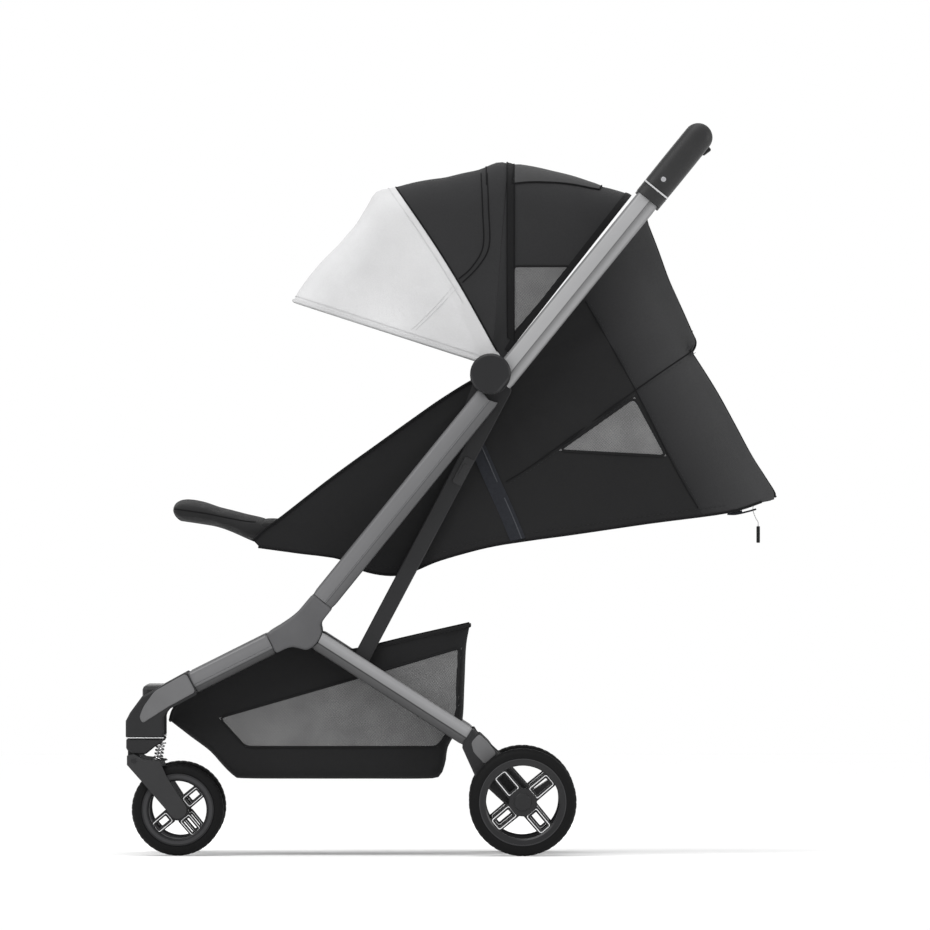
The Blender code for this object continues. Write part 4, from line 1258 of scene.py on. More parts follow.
def make_body(kit):
    soft = []
    for name, side in SIDES.items():
        wall = Wall(side)
        out = Vector((0, side, 0))
        made = sheet("side_cloth_" + name, wall.grid, 0.0016, kit["side_cloth"], "chassis", facing(wall.grid, (0, side, 0)))
        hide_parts("hood_side_" + name)
        pipes = []
        for path, radius in ((SEAM_1, 0.0010), (SEAM_2, 0.0010)):
            pipes.append(sweep(wall.laid(path, 0.0004), radius, 6, 0.7))
        pipes.append(sweep(wall.laid(HOOD_FRONT, 0.0002, 6), 0.0021, 8))
        hem = [(x, z + 0.0012) for x, z in HOOD_BOTTOM[1:-1]]
        pipes.append(sweep(wall.laid(hem, 0.0000, 5), 0.0019, 8))
        seams = joined("side_seams_" + name, pipes, kit["piping"], "chassis")
        threads = []
        for path, shift in ((SEAM_1, 0.0042), (SEAM_2, 0.0042)):
            curve = [Vector(p) for p in smooth_line(path, 5)]
            moved = []
            for k, p in enumerate(curve):
                run = (curve[min(k + 1, len(curve) - 1)] - curve[max(k - 1, 0)]).normalized()
                q = p + Vector((-run.y, run.x)) * shift
                moved.append(Vector((q.x, wall.y(q.x, q.y), q.y)))
            threads += stitches(moved, out * 0.0004)
        low = [Vector((x, wall.y(x, z + 0.011), z + 0.011)) for x, z in smooth_line(HOOD_BOTTOM[3:-2], 4)]
        threads += stitches(low, out * 0.0004)
        thread = joined("side_stitches_" + name, threads, kit["thread"], "chassis")
        window = triangle_patch(
            "side_window_" + name, WINDOW_2, wall.y, side, kit["net"], "chassis", 0.0009
        )
        edge = rounded(WINDOW_2, 0.010, 5)
        ring = [Vector((x, wall.y(x, z) + side * 0.0010, z)) for x, z in even_closed(edge, 90)]
        binding = joined("side_window_edge_" + name, [sweep(ring, 0.0019, 6, 0.6, closed=True)], kit["binding"], "chassis")
        band_line = [(0.0300, 0.5930), (0.0420, 0.5660), (0.0600, 0.5250), (0.0780, 0.4850), (0.0925, 0.4500), (0.0945, 0.4450)]
        band = strap_on(band_line, wall, side, 0.0215, 0.0013)
        strap = joined("side_strap_" + name, [band], kit["strap"], "chassis")
        light = strap_on([(x + 0.0050, z + 0.0022) for x, z in band_line], wall, side, 0.0016, 0.0017)
        line = joined("side_strap_line_" + name, [light], kit["strap_line"], "chassis")
        sheet_size(made, wall.grid, held="stretched", rests_on=["upper_tube_shape_" + name, "lower_tube_shape_" + name],
                   with_pieces=[seams, thread, window, binding, strap, line])
        soft += [made, seams, thread, window, binding, strap, line]

    half = CLOTH_HALF - 0.0006 - BACK_TURN
    panels = (
        ("back_cloth_lower", back_panel(BACK_LOWER[1:9], half, 0.0015, 56), "hood_back"),
        ("back_cloth_upper", back_panel(BACK_UPPER, half, 0.0020, 56), None),
    )
    for name, grid, node in panels:
        made = sheet(name, grid, 0.0015, kit["back_cloth"], "chassis", facing(grid, (1, 0, 0.3)))
        if node:
            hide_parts(node)
        across = [Vector(p) for p in grid[-1]]
        lines = [sweep(across, 0.0016, 6)]
        if node is None:
            lines.append(sweep([Vector(p) + Vector((0.0004, 0, 0.0002)) for p in grid[-9]], 0.0007, 6))
        for column in (0, len(grid[0]) - 1):
            lines.append(sweep([Vector(row[column]) for row in grid], 0.0012, 6))
        seams = joined(name + "_seams", lines, kit["piping"], "chassis")
        sheet_size(made, grid, held="stretched", rests_on=["side_cloth_left", "side_cloth_right"], with_pieces=[seams])
        soft += [made, seams]
    under = back_panel([*BACK_LOWER[8:], (0.4200, 0.4930), (0.4050, 0.4880)], half, 0.0, 14)
    made = sheet("back_cloth_hem", under, 0.0015, kit["back_cloth"], "chassis", facing(under, (0, 0, -1)))
    sheet_size(made, under, held="stretched", rests_on=["back_cloth_lower"])
    soft.append(made)
    flatten(*soft)


def even_closed(outline, count):
    line = even_line([*outline, outline[0]], count + 1)
    return [(p.x, p.y) for p in line[:-1]]


def strap_on(line, wall, side, wide, out):
    """Points and faces of a flat strap that lies on a cloth wall."""
    curve = [Vector(p) for p in smooth_line(line, 6)]
    points = []
    for k, p in enumerate(curve):
        run = (curve[min(k + 1, len(curve) - 1)] - curve[max(k - 1, 0)]).normalized()
        aside = Vector((-run.y, run.x)) * (wide / 2)
        base = wall.y(p.x, p.y)
        for q, lift in ((p + aside, out * 0.7), (p + aside * 0.8, out), (p - aside * 0.8, out), (p - aside, out * 0.7), (p - aside, -0.0004), (p + aside, -0.0004)):
            points.append((q.x, base + side * lift, q.y))
    size = 6
    faces = [tuple(range(size)), tuple((len(curve) - 1) * size + k for k in range(size))]
    for k in range(len(curve) - 1):
        for m in range(size):
            n = (m + 1) % size
            faces.append((k * size + m, k * size + n, (k + 1) * size + n, (k + 1) * size + m))
    return points, faces


# ---------------------------------------------------------------- canopy

VISOR_ROOF = ((158.0, 0.2960), (150, 0.2890), (140, 0.2810), (132, 0.2830), (125, 0.2960), (122, 0.3060), (117, 0.2950))
MIDDLE_ROOF = ((116.6, 0.2950), (103, 0.2840), (93, 0.2880), (87.5, 0.3010), (86, 0.3000))
REAR_ROOF = ((84.6, 0.2960), (73, 0.2970), (61.3, 0.3040), (52, 0.3210))
ROOF = (*VISOR_ROOF, *MIDDLE_ROOF, *REAR_ROOF)
FOOT = 0.0275
CORNER = 0.045


def reach_table():
    """The roof's distance from the hub at every quarter degree, eased over the table's corners."""
    degrees = np.arange(45.0, 165.0, 0.25)
    table = np.array(ROOF[::-1])
    reach = np.interp(degrees, table[:, 0], table[:, 1])
    ease = np.exp(-((np.arange(-20, 21) * 0.25 / 1.3) ** 2) / 2)
    edges = np.pad(reach, 20, mode="edge")
    return degrees, np.convolve(edges, ease / ease.sum(), mode="valid")


REACH = reach_table()


def reach_at(degrees):
    return float(np.interp(degrees, *REACH))


def light_edge(distance):
    """The angle of the seam between the visor and the roof, at a distance from the hub."""
    share = max(0.0, min(1.0, (distance - 0.040) / 0.250))
    offset = 0.0251 + 0.0048 * math.sin(math.pi * share)
    return 121.9 - math.degrees(math.asin(min(0.98, offset / max(distance, 0.0262))))


def front_edge(distance, inside=0.0):
    """The angle of the visor's free edge, which runs straight past the hub. inside is a distance in from it."""
    return 162.1 - math.degrees(math.asin(min(0.98, (0.0140 + inside) / max(distance, 0.0150 + inside))))


def slack(distance, degrees):
    """How far the side cloth hangs in between two bows."""
    bows = (159.4, 116.8, 85.3, 51.8)
    for high, low in zip(bows, bows[1:]):
        if high >= degrees >= low:
            share = (high - degrees) / (high - low)
            out = max(0.0, min(1.0, (distance - FOOT) / 0.21))
            wave = noise.noise(Vector((distance * 22, degrees * 0.07, 3.3))) * 0.0012
            return 0.0046 * math.sin(math.pi * share) * math.sin(math.pi * out) ** 0.8 + abs(wave) * math.sin(math.pi * share)
    return 0.0


def half_path(reach, s):
    """(distance from the hub, Y) at a share s of the way from the roof's middle to the foot."""
    flat = CANOPY_HALF - CORNER
    bend = CORNER * math.pi / 2
    wall = reach - CORNER - FOOT
    run = s * (flat + bend + wall)
    if run < flat:
        return reach + 0.0015 * (1 - (run / flat) ** 2), run
    if run < flat + bend:
        angle = (run - flat) / CORNER
        return reach - CORNER + CORNER * math.cos(angle), CANOPY_HALF - CORNER + CORNER * math.sin(angle)
    return reach - CORNER - (run - flat - bend), CANOPY_HALF


def share_at(reach, distance):
    """The share s where a half path has come in to a distance from the hub."""
    flat = CANOPY_HALF - CORNER
    bend = CORNER * math.pi / 2
    whole = flat + bend + reach - CORNER - FOOT
    if distance > reach - CORNER:
        angle = math.acos(min(1.0, (distance - reach + CORNER) / CORNER))
        return (flat + CORNER * angle) / whole
    return (flat + bend + reach - CORNER - distance) / whole


def canopy_point(degrees, s, side, out=0.0, reach=None):
    """A point on the canopy's outside, raised by out."""
    distance, y = half_path(reach_at(degrees) if reach is None else reach, s)
    y -= slack(distance, degrees) * max(0.0, min(1.0, (y - CANOPY_HALF + 0.012) / 0.012))
    ahead, beside = half_path((reach_at(degrees) if reach is None else reach), min(1.0, s + 0.004))
    back, behind = half_path((reach_at(degrees) if reach is None else reach), max(0.0, s - 0.004))
    run = Vector((ahead - back, beside - behind))
    normal = Vector((run.y, -run.x)).normalized()
    distance += normal.x * out
    y += normal.y * out
    angle = math.radians(degrees)
    return Vector((HUB.x + distance * math.cos(angle), side * y, HUB.y + distance * math.sin(angle)))


def canopy_at(x, z, side, out):
    """The point on the canopy's side over a place in the side view."""
    away = Vector((x, z)) - HUB
    degrees = math.degrees(math.atan2(away.y, away.x))
    return canopy_point(degrees, share_at(reach_at(degrees), min(away.length, reach_at(degrees))), side, out)


def canopy_grid(start, end, stations, columns, out=0.0, low=-1.0, high=1.0):
    """Rows from one edge to the other; start and end give their angle at a distance from the hub."""
    rows = []
    for i in range(stations + 1):
        share = i / stations
        row = []
        for j in range(columns + 1):
            s = low + (high - low) * j / columns
            side = -1 if s < 0 else 1
            guess = start(0.29) + (end(0.29) - start(0.29)) * share
            reach = reach_at(guess)
            distance, _ = half_path(reach, abs(s))
            degrees = start(distance) + (end(distance) - start(distance)) * share
            row.append(canopy_point(degrees, abs(s), side, out, reach))
        rows.append(row)
    return rows


def hoop(degrees_at, wide, out, columns=72, low=-1.0, high=1.0):
    """A band over the canopy along an angle that may change with the distance from the hub."""
    rows = [[], [], []]
    for j in range(columns + 1):
        s = low + (high - low) * j / columns
        side = -1 if s < 0 else 1
        distance, _ = half_path(0.297, abs(s))
        centre = degrees_at(distance)
        for k, shift in enumerate((-1, 0, 1)):
            degrees = centre + math.degrees(shift * wide / 2 / max(distance, 0.05))
            rows[k].append(canopy_point(degrees, abs(s), side, out if shift else out + 0.0004))
    return rows


def on_bow(degrees):
    angle = math.radians(degrees)
    return (HUB.x + 0.29 * math.cos(angle), 0.0, HUB.y + 0.29 * math.sin(angle))


def make_canopy(kit):
    tube_line = 51.8
    panels = (
        ("visor_cloth", "visor", front_edge, light_edge, "visor_cloth", "cloth_light_grey", "bow_middle", "bow_front", "middle", "front", 26),
        ("roof_cloth", "canopy_roof", lambda r: light_edge(r) - 0.15, lambda r: min(85.3, light_edge(r) - 0.30), "roof_cloth", "cloth_dark_grey", "bow_rear", "bow_middle", "rear", "middle", 20),
        ("rear_cloth", "canopy_rear", lambda r: min(85.15, light_edge(r) - 0.45), lambda r: tube_line, "roof_cloth", "cloth_dark_grey", "chassis", "bow_rear", None, "rear", 18),
    )
    ends = {"front": on_bow(158.4), "middle": on_bow(116.8), "rear": on_bow(85.3), None: on_bow(tube_line)}
    made = {}
    for name, node, start, end, finish, slot, body_a, body_b, from_bow, to_bow, stations in panels:
        grid = canopy_grid(start, end, stations, 88)
        piece = sheet(name, grid, 0.0014, kit[finish], None, facing(grid, (-0.3 if name == "visor_cloth" else 0.0, 0, 1)))
        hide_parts(node)
        made[name] = (piece, grid, body_a, body_b, ends[from_bow], ends[to_bow])

    def goes_with(piece, panel):
        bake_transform(piece)
        extras[panel].append(piece)

    extras = {name: [] for name in made}

    def pipe(name, lines, radius, finish, panel, flat=0.8):
        piece = joined(name, [sweep(line, radius, 6, flat) for line in lines], kit[finish])
        goes_with(piece, panel)
        return piece

    def band(name, grid, finish, slot, panel, thick=0.0012):
        piece = sheet(name, grid, thick, kit[finish], None, facing(grid, (0, 0, 1)))
        goes_with(piece, panel)
        return piece

    front_grid = made["visor_cloth"][1]
    pipe("visor_front_hem", [front_grid[0]], 0.0026, "visor_hem", "visor_cloth", 0.9)
    stitch = hoop(lambda r: front_edge(r, 0.0065), 0.0012, 0.0002)
    pipe("visor_front_stitch", [stitch[1]], 0.00035, "visor_hem", "visor_cloth")
    fold = hoop(lambda r: light_edge(r) + math.degrees(0.0085 / max(r, 0.05)), 0.0012, 0.0001, 72, -0.80, 0.80)
    pipe("visor_fold_line", [fold[1]], 0.0004, "visor_hem", "visor_cloth")
    fan = []
    for side in SIDES.values():
        for shift in (0.0, 0.0060):
            line = [(0.0080 - shift, 0.8000 + shift * 0.3), (-0.0200 - shift, 0.7700), (-0.0500 - shift, 0.7410)]
            fan.append([canopy_at(x, z, side, 0.0001) for x, z in smooth_line(line, 6)])
    pipe("visor_side_seam", fan, 0.0004, "visor_hem", "visor_cloth")
    bow = []
    for s in np.linspace(-0.97, 0.97, 90):
        distance, _ = half_path(0.2950, abs(s))
        bow.append(canopy_point(front_edge(distance, 0.0010), abs(s), -1 if s < 0 else 1, -0.0022, 0.2950))
    rod = joined("bow_front_shape", [sweep(bow, 0.0018, 8)], kit["steel"], "bow_front")
    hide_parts("canopy_bow_front")
    edge = [canopy_point(light_edge(half_path(0.295, abs(s))[0]) - 0.2, abs(s), -1 if s < 0 else 1, 0.0003, 0.2950) for s in np.linspace(-0.985, 0.985, 90)]
    pipe("roof_front_seam", [edge], 0.0013, "piping", "roof_cloth")
    curve = []
    for shift in (0.0, 0.0085):
        for side in SIDES.values():
            line = smooth_line([(0.0508 - shift, 0.9620), (0.0530 - shift, 0.9100), (0.0536 - shift, 0.8593), (0.0380 - shift, 0.8300), (0.0160 - shift * 0.6, 0.8080 + shift * 0.6)], 6)
            curve.append([canopy_at(p[0], p[1], side, 0.0004) for p in line])
    pipe("roof_side_seams", curve, 0.0009, "piping", "roof_cloth")
    top_curve = [canopy_point(91.2, abs(s), -1 if s < 0 else 1, 0.0004) for s in np.linspace(-0.40, 0.40, 40)]
    pipe("roof_top_seam", [top_curve], 0.0009, "piping", "roof_cloth")

    upright = lambda r: math.degrees(math.acos(min(0.95, 0.0283 / max(r, 0.0285))))
    post = hoop(upright, 0.0100, 0.0014, 96, -0.93, 0.93)
    band("canopy_rear_band", post, "binding", "cloth_black", "rear_cloth")
    pipe("canopy_rear_band_edges", [post[0], post[2]], 0.0009, "piping", "rear_cloth")
    tube_edge = hoop(lambda r: tube_line + math.degrees(0.0040 / max(r, 0.06)), 0.0085, 0.0012, 96, -0.97, 0.97)
    band("canopy_tube_band", tube_edge, "binding", "cloth_black", "rear_cloth")
    flap_rows = []
    for i in range(15):
        degrees = 83.6 - (83.6 - 59.5) * i / 14
        edge_s = 0.400 - 0.080 * i / 14
        taper = 0.0026 if 0 < i < 14 else 0.0012
        row = []
        for j in range(41):
            s = -edge_s + 2 * edge_s * j / 40
            row.append(canopy_point(degrees, abs(s), -1 if s < 0 else 1, taper if 0 < j < 40 else 0.0012))
        flap_rows.append(row)
    band("canopy_top_flap", flap_rows, "flap_cloth", "cloth_dark_grey", "rear_cloth")
    rim = [*flap_rows[0], *[row[-1] for row in flap_rows[1:]], *flap_rows[-1][::-1][1:], *[row[0] for row in flap_rows[::-1][1:-1]]]
    piece = joined("canopy_top_flap_edge", [sweep(rim, 0.0012, 6, closed=True)], kit["piping"])
    goes_with(piece, "rear_cloth")
    corners = ((0.0880, 0.8312), (0.1700, 0.8312), (0.0880, 0.7350))
    rings = []
    for name, side in SIDES.items():
        flat = lambda x, z, side=side: canopy_at(x, z, side, 0.0).y
        window = triangle_patch("canopy_window_" + name, corners, flat, side, kit["net"], None, 0.0008)
        goes_with(window, "rear_cloth")
        ring = [canopy_at(x, z, side, 0.0008) for x, z in even_closed(rounded(corners, 0.006, 4), 80)]
        rings.append(sweep(ring, 0.0017, 6, 0.6, closed=True))
    piece = joined("canopy_window_edges", rings, kit["binding"])
    goes_with(piece, "rear_cloth")
    for panel, (piece, grid, body_a, body_b, start, end) in made.items():
        sheet_size(piece, grid, held="stretched", rests_on=["canopy_bow_front", "canopy_bow_middle", "canopy_bow_rear"], with_pieces=extras[panel])
        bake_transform(piece)


# ---------------------------------------------------------------- seat


def pad_shape(bottom, top, half, stations, around, square=0.55, start=0.012, end=0.012, channels=()):
    """Points and faces of a stuffed pad between a lower and an upper line, its ends rounded over start and end.
    channels are (place along it, depth) sewn lines across it."""
    fine = 600
    low = even_line(smooth_line(bottom, 6), fine + 1)
    high = even_line(smooth_line(top, 6), fine + 1)
    long = sum((b - a).length for a, b in zip(low, low[1:]))
    points = []
    for i in range(stations):
        u = i / (stations - 1)
        share = u - 0.92 * math.sin(math.tau * u) / math.tau
        place = round(share * fine)
        run_in = min(1.0, share * long / start)
        run_out = min(1.0, (1 - share) * long / end)
        body = math.sqrt(max(0.0, 1 - (1 - run_in) ** 2)) * math.sqrt(max(0.0, 1 - (1 - run_out) ** 2))
        body = max(0.06, body)
        sewn = 1.0
        for channel, depth in channels:
            sewn -= depth * math.exp(-(((share - channel) / 0.022) ** 2))
        middle = (low[place] + high[place]) / 2
        rise = (high[place] - low[place]) / 2
        for k in range(around):
            angle = math.tau * k / around
            c, s = math.cos(angle), math.sin(angle)
            y = half * math.copysign(abs(c) ** square, c) * (1 - 0.012 * (1 - body))
            up = math.copysign(abs(s) ** square, s) * body
            if up > 0:
                up *= sewn * (1 + 0.10 * (1 - (y / half) ** 2))
            points.append((middle.x + rise.x * up, y, middle.y + rise.y * up))
    faces = [tuple(range(around)), tuple((stations - 1) * around + k for k in range(around))]
    for i in range(stations - 1):
        for k in range(around):
            n = (k + 1) % around
            faces.append((i * around + k, i * around + n, (i + 1) * around + n, (i + 1) * around + k))
    return points, faces


def puffed(made, pressure, cap, voxel=0.0055):
    """Swells a pad as stuffed cloth: a remeshed copy under pressure, with each point's travel capped."""
    scene = bpy.context.scene
    remesh = made.modifiers.new("remesh", "REMESH")
    remesh.mode = "VOXEL"
    remesh.voxel_size = voxel
    remesh.use_smooth_shade = True
    graph = bpy.context.evaluated_depsgraph_get()
    mesh = bpy.data.meshes.new_from_object(made.evaluated_get(graph))
    material = made.data.materials[0]
    made.modifiers.clear()
    made.data = mesh
    if not mesh.materials:
        mesh.materials.append(material)
    start = np.zeros(len(mesh.vertices) * 3)
    mesh.vertices.foreach_get("co", start)
    start = start.reshape(-1, 3)
    step = made.modifiers.new("cloth", "CLOTH")
    settings = step.settings
    settings.quality = 4
    settings.mass = 0.2
    settings.tension_stiffness = 12
    settings.compression_stiffness = 12
    settings.bending_stiffness = 0.4
    settings.use_pressure = True
    settings.uniform_pressure_force = pressure
    settings.effector_weights.gravity = 0
    step.collision_settings.use_collision = False
    step.point_cache.frame_start = 1
    step.point_cache.frame_end = 20
    for number in range(1, 21):
        scene.frame_set(number)
    graph = bpy.context.evaluated_depsgraph_get()
    swollen = made.evaluated_get(graph).to_mesh()
    moved = np.zeros(len(swollen.vertices) * 3)
    swollen.vertices.foreach_get("co", moved)
    made.evaluated_get(graph).to_mesh_clear()
    moved = moved.reshape(-1, 3) - start
    length = np.linalg.norm(moved, axis=1, keepdims=True)
    moved *= np.minimum(1.0, cap / np.maximum(length, 1e-9))
    made.modifiers.clear()
    mesh.vertices.foreach_set("co", (start + moved).ravel())
    mesh.update()
    scene.frame_set(1)
    fine = made.modifiers.new("fine", "SUBSURF")
    fine.levels = fine.render_levels = 1
    graph = bpy.context.evaluated_depsgraph_get()
    smooth = bpy.data.meshes.new_from_object(made.evaluated_get(graph))
    made.modifiers.clear()
    made.data = smooth
    if not smooth.materials:
        smooth.materials.append(material)
    smooth.shade_smooth()
    return made


def top_of(made, x, y):
    """The height of a pad's upper surface at a place."""
    hit, place, _, _ = made.ray_cast(Vector((x, y, 1.0)), Vector((0, 0, -1)))
    return place.z if hit else None


def over(made, plan, out, steps=6):
    """A line of (X, Y) points laid on a pad's upper surface."""
    line = []
    for p in smooth_line(plan, steps):
        z = top_of(made, p[0], p[1])
        if z is not None:
            line.append(Vector((p[0], p[1], z + out)))
    return line


def flat_strap(line, wide, thick, across=(0, 1, 0)):
    """Points and faces of a webbing strap along a line, its width along across."""
    aside = Vector(across).normalized()
    points = []
    for k, p in enumerate(line):
        run = (line[min(k + 1, len(line) - 1)] - line[max(k - 1, 0)]).normalized()
        up = run.cross(aside).normalized()
        if up.z < 0:
            up = -up
        for w, h in ((-0.5, 0), (-0.5, 0.7), (-0.42, 1), (0.42, 1), (0.5, 0.7), (0.5, 0)):
            points.append(p + aside * (wide * w) + up * (thick * h))
    size = 6
    faces = [tuple(range(size)), tuple((len(line) - 1) * size + k for k in range(size))]
    for k in range(len(line) - 1):
        for m in range(size):
            n = (m + 1) % size
            faces.append((k * size + m, k * size + n, (k + 1) * size + n, (k + 1) * size + m))
    return points, faces


def make_seat(kit):
    half = PAD_HALF - 0.001
    soft = []
    cushion_low = [(-0.2750, 0.4525), (-0.2100, 0.4435), (-0.1550, 0.4360), (-0.1200, 0.4215), (-0.0900, 0.4160)]
    cushion_top = [(-0.2750, 0.4730), (-0.2100, 0.4670), (-0.1600, 0.4600), (-0.1300, 0.4510), (-0.0900, 0.4400)]
    back_low = [(-0.0580, 0.4050), (-0.0155, 0.4205), (0.0500, 0.4385), (0.1730, 0.4570), (0.2800, 0.4720), (0.3900, 0.4875), (0.4140, 0.4930)]
    back_top = [(-0.0640, 0.4280), (-0.0400, 0.4410), (0.0400, 0.4610), (0.1700, 0.4805), (0.2800, 0.4960), (0.3900, 0.5105), (0.4150, 0.5090)]
    rest_low = [(-0.2570, 0.4370), (-0.2745, 0.4425), (-0.2900, 0.4490), (-0.3100, 0.4580), (-0.3300, 0.4650), (-0.3470, 0.4680), (-0.3700, 0.4715), (-0.3955, 0.4750)]
    rest_top = [(-0.2570, 0.4700), (-0.2745, 0.4745), (-0.2900, 0.4780), (-0.3100, 0.4835), (-0.3300, 0.4885), (-0.3470, 0.4945), (-0.3700, 0.4990), (-0.3955, 0.4985)]
    pads = (
        ("seat_pad", "seat_cushion", "chassis", cushion_low, cushion_top, ((0.36, 0.35), (0.68, 0.35)), 0.0035, 3.0, 0.004, 0.010),
        ("backrest_pad", "backrest", "backrest", back_low, back_top, ((0.22, 0.35), (0.44, 0.35), (0.66, 0.35), (0.86, 0.3)), 0.0035, 3.0, 0.010, 0.012),
        ("leg_rest_pad", "leg_rest", "leg_rest", rest_low, rest_top, (), 0.0020, 2.0, 0.003, 0.012),
    )
    made = {}
    for name, node, body, low, top, channels, cap, pressure, start, end in pads:
        points, faces = pad_shape(low, top, half, 48, 56, start=start, end=end, channels=channels)
        piece = mesh_piece(name, points, faces, kit["pad_cloth"], body, 60.0)
        puffed(piece, pressure, cap)
        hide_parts(node)
        made[name] = piece
        soft.append(piece)
    lines = {
        "seat_pad": [[(x, -0.128), (x, -0.06), (x, 0.06), (x, 0.128)] for x in (-0.2010, -0.1450)],
        "backrest_pad": [[(x, -0.128), (x, -0.06), (x, 0.06), (x, 0.128)] for x in (0.0420, 0.1460, 0.2520, 0.3480)],
    }
    bodies = {"seat_pad": "chassis", "backrest_pad": "backrest"}
    bpy.context.view_layer.update()
    for name, plans in lines.items():
        shapes = []
        threads = []
        for plan in plans:
            line = over(made[name], plan, -0.0002)
            shapes.append(sweep(line, 0.0010, 6))
            for shift in (-0.004, 0.004):
                threads += stitches(over(made[name], [(x + shift, y) for x, y in plan], 0.0), Vector((0, 0, 0.0003)))
        seams = joined(name + "_channels", shapes, kit["piping"], bodies[name])
        thread = joined(name + "_stitches", threads, kit["thread"], bodies[name])
        soft += [seams, thread]

    rest_seams = []
    for side in SIDES.values():
        line = []
        for x, z in smooth_line([(-0.2760, 0.4700), (-0.2900, 0.4712), (-0.3200, 0.4770), (-0.3500, 0.4830), (-0.3900, 0.4885)], 6):
            hit, place, _, _ = made["leg_rest_pad"].ray_cast(Vector((x, side * 0.5, z)), Vector((0, -side, 0)))
            if hit:
                line.append(place)
        rest_seams.append(sweep(line, 0.0011, 6))
    seam = joined("leg_rest_seams", rest_seams, kit["piping"], "leg_rest")
    soft.append(seam)

    board_low = [(-0.2700, 0.4370), (-0.1560, 0.4210), (-0.1230, 0.4040), (-0.0870, 0.3975)]
    board_top = [(-0.2700, 0.4480), (-0.1560, 0.4325), (-0.1210, 0.4175), (-0.0870, 0.4125)]
    points, faces = pad_shape(board_low, board_top, half, 32, 40, square=0.35, start=0.005, end=0.005)
    board = mesh_piece("seat_sling", points, faces, kit["binding"], "chassis", 60.0)
    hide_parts("seat_board")
    soft.append(board)

    strap_parts = []
    for name, side in SIDES.items():
        pad = made["backrest_pad"]
        plan = [(-0.040, side * 0.062), (0.040, side * 0.058), (0.110, side * 0.050), (0.175, side * 0.046)]
        line = over(pad, plan, 0.0006)
        strap = joined("shoulder_strap_" + name, [flat_strap(line, 0.026, 0.0018)], kit["strap"], "backrest")
        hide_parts("harness_strap_" + name)
        wide = [p + Vector((0, 0, 0.0030)) for p in over(pad, [(0.030, side * 0.059), (0.080, side * 0.054), (0.150, side * 0.047)], 0.0006)]
        cover = joined("strap_pad_" + name, [flat_strap(wide, 0.046, 0.0085)], kit["back_cloth"], "backrest")
        strap_parts += [strap, cover]
    soft += strap_parts
    crotch = over(made["seat_pad"], [(-0.232, 0.0), (-0.196, 0.0), (-0.168, 0.0)], 0.0006)
    webbing_strap = joined("crotch_strap", [flat_strap(crotch, 0.034, 0.002)], kit["strap"], "chassis")
    soft.append(webbing_strap)
    low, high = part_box("harness_buckle")
    outline = rounded([(-0.1680, 0.4665), (-0.1380, 0.4590), (-0.1320, 0.4770), (-0.1370, 0.4850), (-0.1600, 0.4910), (-0.1660, 0.4850)], 0.005, 4)
    buckle_parts = [slab(outline, low.y, high.y, 0.003)]
    for side in SIDES.values():
        prong = rounded([(-0.1600, 0.4700), (-0.1440, 0.4660), (-0.1410, 0.4780), (-0.1570, 0.4820)], 0.003, 3)
        buckle_parts.append(slab(prong, *sorted((side * 0.0195, side * 0.0330)), 0.0015))
    buckle = joined("buckle_shape", buckle_parts, kit["plastic_gloss"], "chassis")
    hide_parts("harness_buckle")
    soft.append(buckle)
    flatten(*soft)


# ---------------------------------------------------------------- basket

BASKET_UNDER = (
    (-0.3960, 0.1900), (-0.3680, 0.1680), (-0.3400, 0.1470), (-0.3220, 0.1270), (-0.3060, 0.1120), (-0.2920, 0.1085),
    (-0.2000, 0.1080), (-0.1200, 0.1080), (-0.0330, 0.1082), (-0.0160, 0.1120), (-0.0085, 0.1300), (-0.0050, 0.1520),
    (0.0050, 0.1700), (0.0155, 0.1880), (0.0185, 0.2400), (0.0210, 0.2950), (0.0262, 0.3235),
)
BASKET_TOP = (
    (-0.3960, 0.1900), (-0.3905, 0.2070), (-0.3700, 0.2290), (-0.3300, 0.2490), (-0.2820, 0.2730), (-0.2350, 0.2965),
    (-0.1950, 0.2965), (-0.1600, 0.2885), (-0.1350, 0.2880), (-0.0600, 0.3055), (0.0262, 0.3250),
)
BASKET_WINDOW = (
    (-0.3270, 0.1940), (-0.0945, 0.2610), (0.0150, 0.2935), (0.0110, 0.1960), (-0.0190, 0.1530), (-0.2900, 0.1530),
)


def basket_row(top, under, half):
    """One cross-section of the basket, from its left rim round the floor to its right rim."""
    deep = (top - under).length
    bend = min(0.016, deep * 0.4)
    inward = (top - under).normalized() if deep > 1e-6 else Vector((0, 1))
    side = []
    for k in range(15):
        share = k / 14
        place = top.lerp(under + inward * bend, share)
        belly = -0.0015 - 0.0045 * math.sin(math.pi * share) * min(1.0, deep / 0.05)
        side.append((place, half + belly))
    for k in range(1, 7):
        angle = math.pi / 2 * k / 6
        side.append((under + inward * (bend * (1 - math.sin(angle))), half - 0.0015 - bend + bend * math.cos(angle)))
    for k in range(1, 7):
        share = k / 6
        y = (half - 0.0015 - bend) * (1 - share)
        side.append((under + inward * (-0.0008 * math.sin(math.pi * share / 2)), y))
    points = [(p.x, -y, p.y) for p, y in side]
    points += [(p.x, y, p.y) for p, y in side[-2::-1]]
    return points


